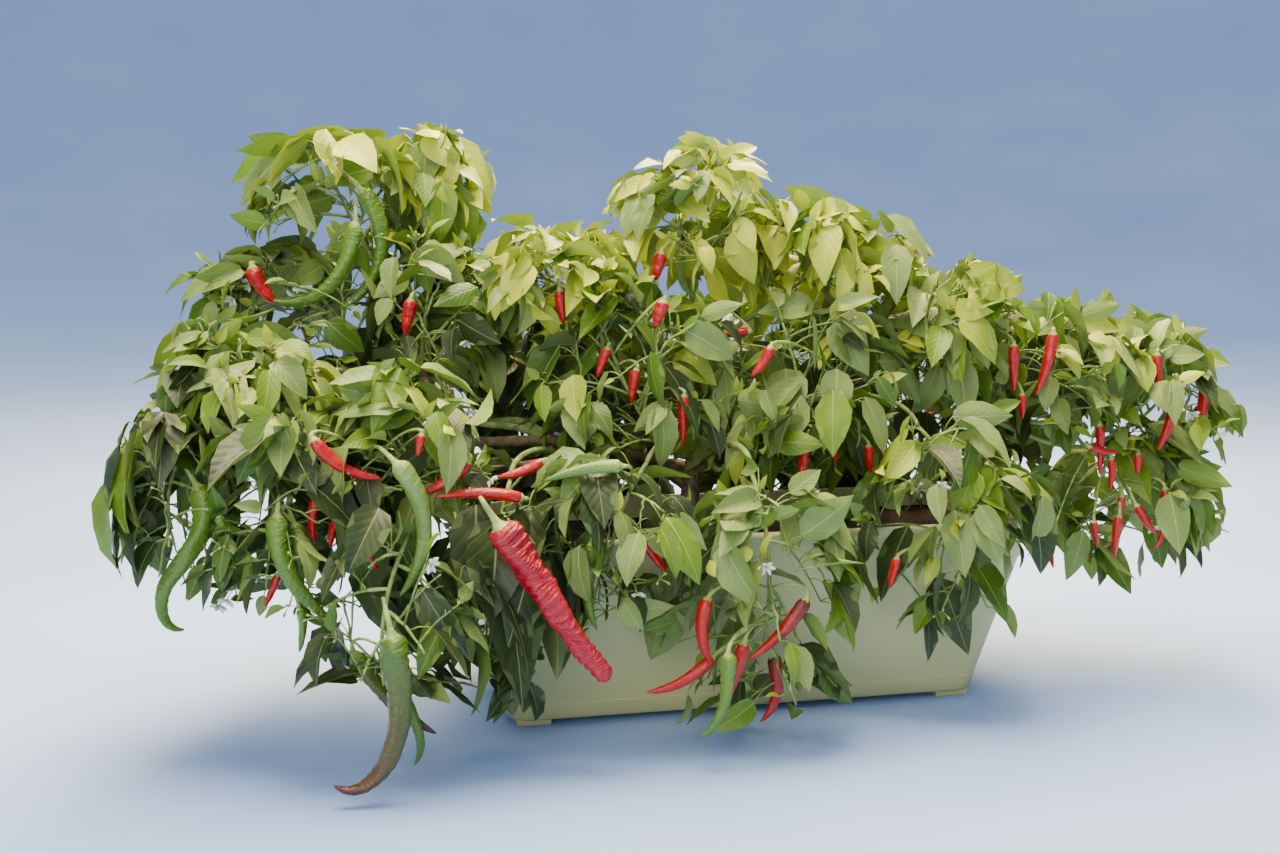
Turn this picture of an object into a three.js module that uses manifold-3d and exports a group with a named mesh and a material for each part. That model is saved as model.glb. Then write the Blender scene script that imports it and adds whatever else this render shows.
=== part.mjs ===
// A chilli pepper plant in a moulded trough. Millimetres, +Z up, +X along the trough, +Y to the back.
// One clump from one root: a short trunk, a bough to each mass of foliage, and in each mass twigs,
// leaves and pods that grow by one seeded rule.
import * as THREE from 'three';
import { mergeVertices } from 'three/addons/utils/BufferGeometryUtils.js';
import Module from 'manifold-3d';

const wasm = await Module();
wasm.setup();

// Driving dimensions of the trough
const TROUGH = {
  length: 760, // over the rim, along X
  depth: 300, // over the rim, along Y
  height: 258, // floor to the top of the rim
  baseLength: 660,
  baseDepth: 204,
  corner: 34, // corner radius at the rim
  wall: 5,
  band: 52, // the upright band under the rim
  bandStep: 3, // how far the band stands out of the wall
  lip: 11, // height of the rounded lip
  foot: 9, // height of the feet
  footLength: 46,
  footDepth: 60,
  plinth: 24, // height of the faint line above the foot of the wall
};
const SOIL_TOP = 228;
const CORNER_STEPS = 3;

// Driving dimensions of the plant
const TRUNK = { foot: [-60, 12], lean: [6, 4], height: 96, base: 15, tip: 11.5, flare: 10, lobes: 5 };
const GAP = 0.3; // clear space between touching pieces
const LEAF = {
  length: 168,
  width: 0.62, // for a length of 1
  widest: 0.42, // how far along it is widest
  thick: 2.6,
  droop: 0.12, // how far the tip hangs under the midrib's line
  lift: 0.45, // how much higher leaves are held at the top of a mass
  neck: 0.75, // radius where it leaves its twig
  shortest: 62,
};
const STEM = { root: 4.6, tip: 3.2 };
const TWIG = { root: 1.4, middle: 2, tip: 1.5 };
const TIPS_PER_MASS = 9;
const LEAF_PLACES = [0.4, 0.8];
const STEM_LEAVES = 5;
// Turns sideways and drops that a leaf tries until it is clear of what has grown already
const LEAF_TRIES = [
  [0, 0.7], [0.5, 0.5], [-0.5, 0.5], [1, 0.2], [-1, 0.2], [0, -0.3], [0.4, 1.3], [-0.4, 1.3],
];
const MASS_EDGE = 1.06; // how far past its ellipsoid a leaf may reach
const SWELL = 1.36; // how far the masses swell to meet each other
const FLOOR_CLEAR = 12; // nothing that grows comes lower than this

// Masses of foliage: name, centre, half sizes, the side that its bough comes in from,
// the limb that the bough forks from, how far along that limb, the bough's radius at its fork, and
// where it isn't the usual one, how high it arches for its length
const MASSES = [
  ['crown_peak', [-38, 30, 648], [108, 92, 88], [-0.1, 0, -1], 'trunk', 1, 9],
  ['left_front', [-470, -170, 374], [99, 80, 92], [1, 0.56, -0.2], 'trunk', 0.78, 8.5],
  ['right_shoulder', [315, 0, 494], [98, 98, 93], [-1, 0, -0.55], 'trunk', 0.82, 9],
  ['left_mid', [-656, -30, 432], [106, 90, 96], [1, 0.1, -0.4], 'trunk', 0.66, 9],
  ['front_low', [-28, -225, 188], [118, 70, 150], [0, 0.5, 1], 'trunk', 0.9, 6.5],
  ['back_mid_left', [-190, 190, 430], [140, 100, 130], [0.5, -0.6, -0.7], 'trunk', 0.88, 7.5],
  ['back_mid_right', [105, 190, 425], [140, 100, 130], [-0.6, -0.6, -0.7], 'trunk', 0.95, 7.5],
  ['peak_right', [142, 20, 601], [106, 92, 79], [-0.8, 0, -0.7], 'crown_peak', 0.42, 5.5],
  ['saddle', [-237, 20, 573], [106, 92, 72], [0.8, 0, -0.7], 'crown_peak', 0.3, 5.5],
  ['centre_left', [-155, -65, 455], [126, 90, 124], [0.6, 0.4, -0.8], 'crown_peak', 0.12, 5],
  ['centre_right', [85, -65, 428], [128, 90, 128], [-0.7, 0.4, -0.7], 'crown_peak', 0.2, 5],
  ['right_high', [486, 10, 442], [96, 93, 96], [-1, 0, -0.25], 'right_shoulder', 0.7, 6],
  ['right_tip', [656, 20, 394], [86, 88, 111], [-1, 0, -0.6], 'right_high', 0.45, 5, 0.02],
  ['right_droop', [608, 10, 254], [130, 92, 100], [-0.6, 0, 0.9], 'right_tip', 0.4, 4.5, 0.06],
  ['right_front', [254, -165, 267], [115, 75, 149], [-0.3, 0.6, 0.9], 'right_shoulder', 0.35, 5],
  ['front_left', [-205, -205, 270], [94, 72, 110], [0.5, 0.5, 0.9], 'front_low', 0.35, 4.5],
  ['front_dark', [-345, -215, 224], [83, 72, 128], [0.1, 0.5, 1], 'left_front', 0.62, 5],
  ['left_hang', [-492, -270, 177], [84, 78, 165], [0.4, 0.4, 1], 'left_front', 0.82, 5],
  ['left_outer', [-612, -170, 306], [94, 80, 125], [0.7, 0.5, 0.7], 'left_mid', 0.78, 5],
  ['left_tip', [-737, -110, 318], [65, 72, 118], [0.4, 0.5, 0.9], 'left_mid', 0.93, 4.5],
  ['left_join', [-395, 60, 528], [98, 95, 102], [0.2, -0.3, -1], 'left_mid', 0.44, 5.5],
  ['tall_low', [-566, 120, 540], [146, 95, 78], [0.7, -0.4, -0.7], 'left_mid', 0.8, 5],
  ['tall_left', [-510, 150, 672], [130, 96, 96], [0.35, -0.1, -1], 'left_mid', 0.72, 7],
  ['tall_right', [-395, 170, 698], [65, 78, 93], [0, -0.1, -1], 'tall_left', 0.35, 5],
  ['back_left', [-470, 190, 340], [150, 92, 140], [0.7, -0.6, 0.2], 'left_mid', 0.42, 5.5],
  ['back_right', [385, 165, 345], [145, 95, 145], [-0.7, -0.6, 0.2], 'right_shoulder', 0.55, 5.5],
  ['back_low_left', [-170, 245, 225], [150, 70, 112], [0.2, -0.5, 1], 'back_mid_left', 0.6, 4.5],
  ['back_low_right', [175, 245, 220], [150, 70, 112], [-0.2, -0.5, 1], 'back_mid_right', 0.6, 4.5],
];

// Pods: mass, place of the stalk end, length, width, lean from straight down towards +X, turn of
// that lean by the tip, the power that the turn grows by (1 an even bend, 3 a hook at the tip), and
// where the pod bends to and fro, how far it swings back in the middle
const PODS = [
  ['front_dark', [-367, -300, 312], 231, 42, 32, 3, 1],
  ['left_tip', [-711, -135, 344], 207, 29, 28, 75, 7, 66],
  ['left_outer', [-618, -225, 321], 149, 27, -4, 62, 1.1],
  ['left_outer', [-598, -205, 306], 139, 20, 18, 58, 2, 34],
  ['left_front', [-481, -262, 384], 172, 25, 42, -84, 1],
  ['left_hang', [-496, -335, 199], 225, 33, 12, -150, 4.2, 14],
  ['left_hang', [-534, -262, 160], 141, 21, 26, 32, 1],
  ['left_hang', [-484, -280, 119], 98, 17, 24, -60, 3],
  ['tall_left', [-506, 60, 657], 187, 24, -8, -115, 1.5],
  ['tall_left', [-494, 80, 700], 186, 25, 40, -105, 1],
  ['front_left', [-215, -262, 372], 95, 17, -92, 22, 1],
  ['front_left', [-252, -262, 277], 107, 19, -8, 36, 2],
  ['left_front', [-575, -240, 413], 95, 17, 30, 56, 1],
  ['left_front', [-395, -235, 380], 70, 17, -40, -34, 1],
  ['front_dark', [-332, -245, 335], 104, 16, -104, 22, 1],
  ['centre_left', [-105, -140, 440], 60, 16, -2, 0, 1],
  ['centre_right', [10, -140, 500], 46, 19, -30, 0, 1],
  ['centre_right', [59, -140, 370], 62, 17, -6, 0, 1],
  ['saddle', [-252, -60, 572], 48, 18, 2, 0, 1],
  ['front_left', [-190, -262, 285], 56, 16, 30, 10, 1],
  ['right_shoulder', [380, -80, 490], 64, 19, 2, 0, 1],
  ['right_high', [443, -72, 505], 82, 19, -4, -22, 1],
  ['right_tip', [620, -48, 470], 78, 17, 4, 0, 1],
  ['right_tip', [648, -58, 427], 100, 20, -2, -28, 1],
  ['right_tip', [706, -36, 420], 84, 19, 2, -22, 1],
  ['right_droop', [536, -44, 369], 72, 14, 4, -4, 1],
  ['right_droop', [634, -60, 276], 95, 15, 10, -58, 2],
  ['right_droop', [586, -66, 254], 56, 14, 32, 12, 1],
  ['right_droop', [557, -70, 240], 62, 15, -8, 6, 1],
  ['front_low', [-110, -278, 207], 86, 21, -24, 56, 1],
  ['front_low', [-99, -262, 129], 96, 16, -42, -46, 1],
  ['front_low', [-66, -284, 150], 84, 20, -12, -12, 1],
  ['front_low', [-94, -314, 146], 112, 22, 2, -62, 2],
  ['front_low', [14, -282, 200], 104, 21, -30, -32, 1],
  ['front_low', [-12, -238, 118], 92, 20, 10, -66, 2],
  ['tall_low', [-640, 60, 600], 56, 24, 12, 40, 1],
  ['left_join', [-440, -10, 559], 46, 20, -10, 0, 1],
  ['back_left', [-500, 262, 380], 84, 19, 14, -20, 2],
  ['back_mid_left', [-180, 272, 470], 62, 18, -8, 12, 1],
  ['back_mid_right', [120, 272, 450], 70, 18, 10, -16, 1],
  ['back_right', [400, 244, 370], 78, 19, -6, 18, 2],
];
const POD = {
  long: 110, // pods longer than this get the finer shape
  large: { sides: 5, shape: [[0, 0.6], [0.14, 1], [0.45, 0.88], [0.68, 0.68], [0.87, 0.4]] },
  small: { sides: 4, shape: [[0, 0.7], [0.25, 1], [0.7, 0.7]] },
  stalk: 1.8, // radius of the stalk
};

const COLOURS = {
  trough: 0xa9b189,
  soil: 0x3a2c20,
  bark: 0x75664d,
  greenWood: 0x7c9149,
  leaf: 0x4c7a34,
};

// Numbers and vectors
const vec = (p) => new THREE.Vector3(...p);
const UP = new THREE.Vector3(0, 0, 1);
const mix = (a, b, t) => a + (b - a) * t;
const clamp = (x, low, high) => Math.min(high, Math.max(low, x));
const radians = THREE.MathUtils.degToRad;

// A repeatable number from 0 to 1 for three whole numbers
function chance(a, b, c) {
  let h = Math.imul(a + 1, 0x9e3779b1) ^ Math.imul(b + 7, 0x85ebca77) ^ Math.imul(c + 13, 0xc2b2ae3d);
  h = Math.imul(h ^ (h >>> 15), 0x2c1b3c6d);
  h = Math.imul(h ^ (h >>> 12), 0x297a2d39);
  return ((h ^ (h >>> 15)) >>> 0) / 4294967296;
}

// Closed skin over rings of points, each ring turning left about the way the rings go. It ends flat,
// or in a point where an apex is given
function skin(rings, apex) {
  const sides = rings[0].length;
  const faces = [];
  for (let r = 0; r + 1 < rings.length; r += 1) {
    for (let s = 0; s < sides; s += 1) {
      const a = r * sides + s;
      const b = r * sides + ((s + 1) % sides);
      faces.push(a, b, b + sides, a, b + sides, a + sides);
    }
  }
  const last = (rings.length - 1) * sides;
  for (let s = 1; s + 1 < sides; s += 1) {
    faces.push(0, s + 1, s);
    if (!apex) {
      faces.push(last, last + s, last + s + 1);
    }
  }
  if (apex) {
    for (let s = 0; s < sides; s += 1) {
      faces.push(last + s, last + ((s + 1) % sides), last + sides);
    }
  }
  const geometry = new THREE.BufferGeometry().setFromPoints([...rings.flat(), ...(apex ? [apex] : [])]);
  geometry.setIndex(faces);
  return geometry;
}

// Rings of the given radii square to a path
function ringsAlong(path, radii, sides) {
  let across = new THREE.Vector3(1, 0.3, 0.1);
  return path.map((point, i) => {
    const ahead = path[Math.min(i + 1, path.length - 1)];
    const behind = path[Math.max(i - 1, 0)];
    const along = ahead.clone().sub(behind).normalize();
    across = across.clone().addScaledVector(along, -across.dot(along)).normalize();
    const other = along.clone().cross(across);
    return Array.from({ length: sides }, (_, s) => {
      const turn = (2 * Math.PI * s) / sides;
      return point.clone()
        .addScaledVector(across, radii[i] * Math.cos(turn))
        .addScaledVector(other, radii[i] * Math.sin(turn));
    });
  });
}

function taper(count, start, end) {
  return Array.from({ length: count }, (_, i) => mix(start, end, i / (count - 1)));
}

const tube = (path, start, end, sides) => skin(ringsAlong(path, taper(path.length, start, end), sides));

// A solid for joining and cutting, and its way back to a geometry
function solid(geometry) {
  const bare = geometry.clone();
  bare.deleteAttribute('normal');
  bare.deleteAttribute('uv');
  const merged = mergeVertices(bare, 1e-4);
  return new wasm.Manifold(new wasm.Mesh({
    numProp: 3,
    vertProperties: new Float32Array(merged.attributes.position.array),
    triVerts: new Uint32Array(merged.index.array),
  }));
}

function fromSolid(body) {
  const mesh = body.getMesh();
  const geometry = new THREE.BufferGeometry();
  geometry.setAttribute('position', new THREE.BufferAttribute(new Float32Array(mesh.vertProperties), 3));
  geometry.setIndex(Array.from(mesh.triVerts));
  return geometry;
}

// The largest piece alone, so that no loose scrap or sealed hollow is left
function largest(body) {
  return body.decompose().reduce((a, b) => (b.volume() > a.volume() ? b : a));
}

const group = new THREE.Group();

function place(name, geometry, colour, roughness = 0.7) {
  const material = new THREE.MeshStandardMaterial({ color: colour, roughness, metalness: 0 });
  const mesh = new THREE.Mesh(geometry, material);
  mesh.name = name;
  group.add(mesh);
}

// Trough and soil. A rounded rectangle at one height, drawn in from the rim's outline
function troughRing(inset, z) {
  const fall = clamp((TROUGH.height - TROUGH.band - z) / (TROUGH.height - TROUGH.band), 0, 1);
  const halfX = mix(TROUGH.length, TROUGH.baseLength, fall) / 2 - inset;
  const halfY = mix(TROUGH.depth, TROUGH.baseDepth, fall) / 2 - inset;
  const radius = Math.max(TROUGH.corner - inset, 4);
  const ring = [];
  for (let quarter = 0; quarter < 4; quarter += 1) {
    const signX = quarter === 0 || quarter === 3 ? 1 : -1;
    const signY = quarter < 2 ? 1 : -1;
    for (let step = 0; step <= CORNER_STEPS; step += 1) {
      const turn = (Math.PI / 2) * (quarter + step / CORNER_STEPS);
      ring.push(new THREE.Vector3(
        signX * (halfX - radius) + radius * Math.cos(turn),
        signY * (halfY - radius) + radius * Math.sin(turn),
        z,
      ));
    }
  }
  return ring;
}

function troughSolid() {
  const { height, wall, band, bandStep, lip, foot, plinth } = TROUGH;
  const bandFoot = height - band;
  const outside = [
    [bandStep + 4, foot],
    [bandStep, foot + 4],
    [bandStep, foot + plinth],
    [bandStep + 1.2, foot + plinth + 1.5],
    [bandStep + 0.8, bandFoot - 2],
    [0.8, bandFoot],
    [0.8, height - lip],
    [-2.5, height - lip + 2],
    [-3.5, height - lip / 2],
    [-1.5, height],
    [wall - 0.5, height],
    [wall + bandStep - 1, height - lip],
    [wall + bandStep, bandFoot],
    [wall + bandStep, foot + wall],
  ];
  const shell = solid(skin(outside.map(([inset, z]) => troughRing(inset, z))));
  const feet = [-1, 1].flatMap((x) => [-1, 1].map((y) => {
    const block = new THREE.BoxGeometry(TROUGH.footLength, TROUGH.footDepth, foot + 2);
    block.translate(
      x * (TROUGH.baseLength / 2 - bandStep - 8 - TROUGH.footLength / 2),
      y * (TROUGH.baseDepth / 2 - bandStep - 6 - TROUGH.footDepth / 2),
      (foot + 2) / 2,
    );
    return solid(block);
  }));
  return wasm.Manifold.union([shell, ...feet]);
}

function soilSolid() {
  const { height, wall, band, bandStep, foot } = TROUGH;
  const inset = wall + bandStep + 0.4;
  const rings = [foot + wall + GAP, height - band, SOIL_TOP].map((z) => troughRing(inset, z));
  return solid(skin(rings));
}

// The space that the plant keeps out of: the trough filled up to its rim, a little oversize
function troughKeepOut() {
  const rings = [-20, TROUGH.height - TROUGH.band, TROUGH.height + 3].map((z) => troughRing(-6, z));
  return solid(skin(rings));
}

// Trunk: a flat cut on the soil, a lobed root flare, a lean and a taper to its fork
const trunkFoot = new THREE.Vector3(...TRUNK.foot, SOIL_TOP + GAP);
const trunkTip = trunkFoot.clone().add(vec([...TRUNK.lean, TRUNK.height]));
const trunkPoint = (t) => trunkFoot.clone().lerp(trunkTip, t);

function trunkSolid() {
  const sides = 10;
  const rings = [0, 0.06, 0.14, 0.26, 0.5, 0.78, 0.95, 1].map((t) => {
    const centre = trunkPoint(t);
    const spread = TRUNK.flare * Math.exp(-t * 9);
    const round = t === 1 ? 0.8 : 1;
    return Array.from({ length: sides }, (_, s) => {
      const turn = (2 * Math.PI * s) / sides;
      const lobe = 1 + 0.6 * Math.cos(TRUNK.lobes * turn);
      const radius = (mix(TRUNK.base, TRUNK.tip, t) + spread * lobe) * round;
      return centre.clone().add(new THREE.Vector3(radius * Math.cos(turn), radius * Math.sin(turn), 0));
    });
  });
  return solid(skin(rings));
}

// Space of each mass: on its own side of a plane between it and every other mass
const masses = MASSES.map(([name, at, half, side, parent, fork, thick, arch = 0.2], index) => ({
  name,
  index,
  centre: vec(at),
  half: vec(half).multiplyScalar(SWELL),
  side: vec(side),
  parent,
  fork,
  thick,
  arch,
}));

function spanAlong(mass, way) {
  return 1 / way.clone().divide(mass.half).length();
}

for (const mass of masses) {
  mass.walls = masses.filter((other) => other !== mass).map((other) => {
    const way = other.centre.clone().sub(mass.centre);
    const apart = way.length();
    way.normalize();
    const share = spanAlong(mass, way) / (spanAlong(mass, way) + spanAlong(other, way));
    return { way, limit: way.dot(mass.centre) + apart * share };
  });
}

const roomLeft = (mass, point) => Math.min(...mass.walls.map(({ way, limit }) => limit - way.dot(point)));
const depthIn = (mass, point) => point.clone().sub(mass.centre).divide(mass.half).length();

// Boughs: one tapering limb from its fork to the edge of its mass
const limbs = { trunk: { point: trunkPoint, radius: (t) => mix(TRUNK.base, TRUNK.tip, t) } };
const obstacles = [];
const boughSolids = [];

function boxed(body, owner) {
  const box = body.boundingBox();
  return { body, owner, low: vec(box.min), high: vec(box.max) };
}

function touches(body, others, owner) {
  const box = body.boundingBox();
  return others.some(({ body: other, low, high, owner: whose }) => {
    if (owner && whose === owner) {
      return false;
    }
    const apart = box.min[0] > high.x || box.max[0] < low.x || box.min[1] > high.y
      || box.max[1] < low.y || box.min[2] > high.z || box.max[2] < low.z;
    return !apart && !body.intersect(other).isEmpty();
  });
}

function entryOf(mass) {
  const way = mass.side.clone().normalize().multiply(mass.half);
  let reach = 0.92;
  while (roomLeft(mass, mass.centre.clone().addScaledVector(way, reach)) < 9) {
    reach -= 0.02;
  }
  return mass.centre.clone().addScaledVector(way, reach);
}

const trunk = trunkSolid();
obstacles.push(boxed(troughKeepOut()), boxed(trunk));
for (const mass of masses) {
  const parent = limbs[mass.parent];
  const start = parent.point(mass.fork);
  const end = entryOf(mass);
  const length = start.distanceTo(end);
  const inward = mass.centre.clone().sub(end).normalize();
  const rise = start.clone().lerp(end, 0.3).addScaledVector(UP, mass.arch * length);
  const settle = end.clone().addScaledVector(inward, -0.3 * length);
  const curve = new THREE.CubicBezierCurve3(start, rise, settle, end);
  const steps = length > 260 ? 6 : 4;
  const sides = mass.thick > 6 ? 6 : 5;
  const path = curve.getPoints(steps);
  const tip = Math.max(2.8, mass.thick * 0.5);
  limbs[mass.name] = { point: (t) => curve.getPoint(t), radius: (t) => mix(mass.thick, tip, t) };
  mass.entry = end;
  mass.way = end.clone().sub(path[steps - 1]).normalize();
  const whole = solid(tube(path, mass.thick, tip, sides));
  const free = boughSolids.reduce((left, { wide }) => left.subtract(wide), whole.subtract(trunk.hull()));
  const body = largest(free);
  boughSolids.push({ name: mass.name, body, wide: solid(tube(path, mass.thick + GAP, tip + GAP, sides)) });
  obstacles.push(boxed(solid(tube(path, mass.thick + 0.8, tip + 0.8, sides))));
}

// Three-cornered rings along a path, flat side up towards facing
function wedgeRings(path, radii, facing) {
  return path.map((point, i) => {
    const along = path[Math.min(i + 1, path.length - 1)].clone().sub(path[Math.max(i - 1, 0)]).normalize();
    const across = facing.clone().cross(along).normalize();
    const up = along.clone().cross(across);
    return [[0.87, 0.5], [-0.87, 0.5], [0, -1]].map(([x, y]) => (
      point.clone().addScaledVector(across, x * radii[i]).addScaledVector(up, y * radii[i])));
  });
}

// The blade of a leaf, keeled along its midrib and drooping to its tip
function blade(base, way, facing, length) {
  const across = facing.clone().cross(way);
  const at = (x, y, z) => base.clone().addScaledVector(way, x * length)
    .addScaledVector(across, y * length).addScaledVector(facing, z * length);
  const keel = LEAF.thick / length;
  const widest = [
    at(LEAF.widest, LEAF.width / 2, keel * 0.4),
    at(LEAF.widest, -LEAF.width / 2, keel * 0.4),
    at(LEAF.widest, 0, -keel * 0.6),
  ];
  return { widest, tip: at(1, 0, -LEAF.droop) };
}

// A growing skin of three-cornered shoots. Each shoot goes on from a ring of three corners that are
// there already, and each side of its wood leaves two faces that a further shoot can come out of
function startGrowth(ring) {
  return { points: [...ring], faces: [[0, 2, 1]], sites: [] };
}

function addShoot(growth, start, rings, tip, owner) {
  let from = start;
  rings.forEach((ring, r) => {
    const next = ring.map((point) => growth.points.push(point) - 1);
    for (let s = 0; s < 3; s += 1) {
      const [a, b, c, d] = [from[s], from[(s + 1) % 3], next[(s + 1) % 3], next[s]];
      const count = growth.faces.push([a, b, c], [a, c, d]);
      const isWood = !tip || r + 1 < rings.length;
      if (isWood && (r > 0 || owner === 'stem')) {
        growth.sites.push({ face: count - 2, owner }, { face: count - 1, owner });
      }
    }
    from = next;
  });
  if (tip) {
    const last = growth.points.push(tip) - 1;
    [0, 1, 2].forEach((s) => growth.faces.push([from[s], from[(s + 1) % 3], last]));
  } else {
    growth.faces.push([...from]);
  }
}

// The middle and the outward way of a face
function faceFrame(growth, face) {
  const [a, b, c] = growth.faces[face].map((i) => growth.points[i]);
  const normal = b.clone().sub(a).cross(c.clone().sub(a)).normalize();
  return { middle: a.clone().add(b).add(c).divideScalar(3), normal };
}

// A small three-cornered ring in the middle of a face, its first corner towards the face's far corner
function siteRing(growth, face, radius) {
  const { middle, normal } = faceFrame(growth, face);
  const corners = growth.faces[face];
  const far = corners.map((i) => growth.points[i].distanceTo(middle)).reduce((best, d, i, all) => (
    d > all[best] ? i : best), 0);
  const order = [0, 1, 2].map((i) => corners[(far + i) % 3]);
  const first = growth.points[order[0]].clone().sub(middle).normalize();
  const second = normal.clone().cross(first);
  const ring = [0, 1, 2].map((i) => middle.clone()
    .addScaledVector(first, radius * Math.cos((i * 2 * Math.PI) / 3))
    .addScaledVector(second, radius * Math.sin((i * 2 * Math.PI) / 3)));
  return { ring, order, normal, middle };
}

// Opens a face round its ring: the face becomes a flat band of six
function openSite(growth, face, { ring, order, normal }) {
  const inner = ring.map((point) => growth.points.push(point) - 1);
  const area = (tri) => {
    const [a, b, c] = tri.map((i) => growth.points[i]);
    return b.clone().sub(a).cross(c.clone().sub(a)).dot(normal);
  };
  growth.faces[face] = null;
  for (let s = 0; s < 3; s += 1) {
    const [a, b, c, d] = [order[s], order[(s + 1) % 3], inner[(s + 1) % 3], inner[s]];
    const choices = [[[a, b, c], [a, c, d]], [[a, b, d], [b, c, d]]];
    choices.sort((p, q) => Math.min(...q.map(area)) - Math.min(...p.map(area)));
    growth.faces.push(...choices[0]);
  }
  growth.sites = growth.sites.filter((site) => site.face !== face);
  return inner;
}

// The turn of a ring's corners that lies nearest to the ring that follows it
function leastTwist(ring, middle, next) {
  const centre = next.reduce((sum, p) => sum.add(p), new THREE.Vector3()).divideScalar(3);
  const miss = (shift) => next.reduce((sum, p, i) => {
    const here = ring[(i + shift) % 3].clone().sub(middle).normalize();
    return sum + here.distanceTo(p.clone().sub(centre).normalize());
  }, 0);
  return [0, 1, 2].sort((a, b) => miss(a) - miss(b))[0];
}

function growthSolid({ points, faces }) {
  const geometry = new THREE.BufferGeometry().setFromPoints(points);
  geometry.setIndex(faces.filter((face) => face).flat());
  return solid(geometry);
}

// The ways a leaf may hang, best first. Each aims from its root at another place on the skin of the
// mass, to one side and lower down, and is cut short by the walls of its space and by the floor
function leafWays(mass, base, along, hand, key) {
  const out = base.clone().sub(mass.centre).divide(mass.half).normalize();
  const sideways = along.clone().cross(UP).normalize();
  const full = LEAF.length * mix(0.8, 1.12, chance(mass.index, key, 3));
  const tilt = chance(mass.index, key, 4) - 0.5;
  return LEAF_TRIES.map(([turn, drop]) => {
    const aim = out.clone().multiplyScalar(0.5).addScaledVector(sideways, 0.8 * hand + turn)
      .addScaledVector(along, 0.2).addScaledVector(UP, Math.max(out.z, 0) * LEAF.lift - drop).normalize();
    const way = aim.multiply(mass.half).multiplyScalar(0.98).add(mass.centre).sub(base);
    let length = Math.min(way.length(), full);
    way.normalize();
    for (const wall of mass.walls) {
      const run = Math.max(wall.way.dot(way), 1e-6);
      length = Math.min(length, (wall.limit - wall.way.dot(base) - 1) / run);
    }
    length = Math.min(length, (base.z - FLOOR_CLEAR) / Math.max(-way.z, 1e-6));
    const facing = out.clone().addScaledVector(UP, 0.45).addScaledVector(sideways, tilt);
    facing.addScaledVector(way, -facing.dot(way)).normalize();
    return { way, facing, length };
  }).filter(({ length }) => length > LEAF.shortest);
}

function fits(mass, body, points, edge) {
  return points.every((p) => p.z > FLOOR_CLEAR && roomLeft(mass, p) > GAP && depthIn(mass, p) < edge)
    && !touches(body, obstacles, mass.name) && !touches(body, mass.grown)
    && !touches(body, mass.pods.map((pod) => boxed(pod)));
}

// Lets a shoot out of the face that suits its place and way best, if it fits there
function trySite(mass, owner, place, radius, makeRings) {
  const { growth } = mass;
  const near = growth.sites.filter((site) => site.owner === owner).map((site) => {
    const { middle, normal } = faceFrame(growth, site.face);
    const way = place.way.clone().normalize();
    return { face: site.face, score: middle.distanceTo(place.at) * 0.03 - normal.dot(way) };
  }).sort((a, b) => a.score - b.score).slice(0, 2);
  for (const { face } of near) {
    const site = siteRing(growth, face, radius);
    const { rings, tip, corners } = makeRings(site.middle);
    const shift = leastTwist(site.ring, site.middle, rings[0]);
    const turned = [0, 1, 2].map((i) => site.ring[(i + shift) % 3]);
    const lifted = turned.map((p) => p.clone().addScaledVector(site.normal, 0.04));
    const body = solid(skin([lifted, ...rings], tip));
    if (body.volume() > 0 && fits(mass, body, corners, MASS_EDGE)) {
      const inner = openSite(growth, face, site);
      addShoot(growth, [0, 1, 2].map((i) => inner[(i + shift) % 3]), rings, tip, place.name);
      mass.grown.push(boxed(body));
      return true;
    }
  }
  return false;
}

function growLeaf(mass, owner, base, along, hand, key) {
  return leafWays(mass, base, along, hand, key).some(({ way, facing, length }) => (
    trySite(mass, owner, { at: base, way, name: 'leaf' }, LEAF.neck, (root) => {
      const { widest, tip } = blade(root, way, facing, length);
      return { rings: [widest], tip, corners: [...widest, tip] };
    })));
}

// A twig from the stem to one of the evenly spread tips of its mass, with a leaf at its end
function growTwig(mass, key) {
  const { stem } = mass;
  const climb = 1 - (2 * key + 1) / TIPS_PER_MASS;
  const turn = key * Math.PI * (3 - Math.sqrt(5)) + 6.3 * chance(mass.index, 0, 1);
  const level = Math.sqrt(1 - climb * climb);
  const spread = new THREE.Vector3(level * Math.cos(turn), level * Math.sin(turn), climb);
  const entryWay = mass.entry.clone().sub(mass.centre).divide(mass.half).normalize();
  if (spread.dot(entryWay) > 0.86) {
    return;
  }
  const reach = 0.66 + 0.16 * chance(mass.index, key, 2);
  const tip = mass.centre.clone().addScaledVector(spread.clone().multiply(mass.half), reach);
  while (roomLeft(mass, tip) < 6 || tip.z < FLOOR_CLEAR + 20) {
    tip.lerp(mass.centre, 0.1);
  }
  const chord = stem.getPoint(1).sub(stem.getPoint(0));
  const share = tip.clone().sub(stem.getPoint(0)).dot(chord) / chord.lengthSq();
  const start = stem.getPoint(clamp(share * 0.75 - 0.05, 0.12, 0.96));
  const name = `twig ${key}`;
  const bend = start.clone().lerp(tip, 0.5).addScaledVector(UP, 0.16 * start.distanceTo(tip));
  const curve = new THREE.QuadraticBezierCurve3(start, bend, tip);
  const ways = leafWays(mass, tip, curve.getTangent(1), 0, key + 40);
  const place = { at: start, way: bend.clone().sub(start), name };
  if (ways.some(({ way, facing, length }) => trySite(mass, 'stem', place, TWIG.root, (root) => {
    const path = [root, root.clone().lerp(tip, 0.5).addScaledVector(UP, 0.08 * root.distanceTo(tip)), tip];
    const { widest, tip: end } = blade(tip, way, facing, length);
    const rings = wedgeRings(path, [TWIG.root, TWIG.middle, TWIG.tip], facing).slice(1);
    return { rings: [...rings, widest], tip: end, corners: [...widest, end] };
  }))) {
    mass.twigs.push({ key, name, curve });
  }
}

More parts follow.
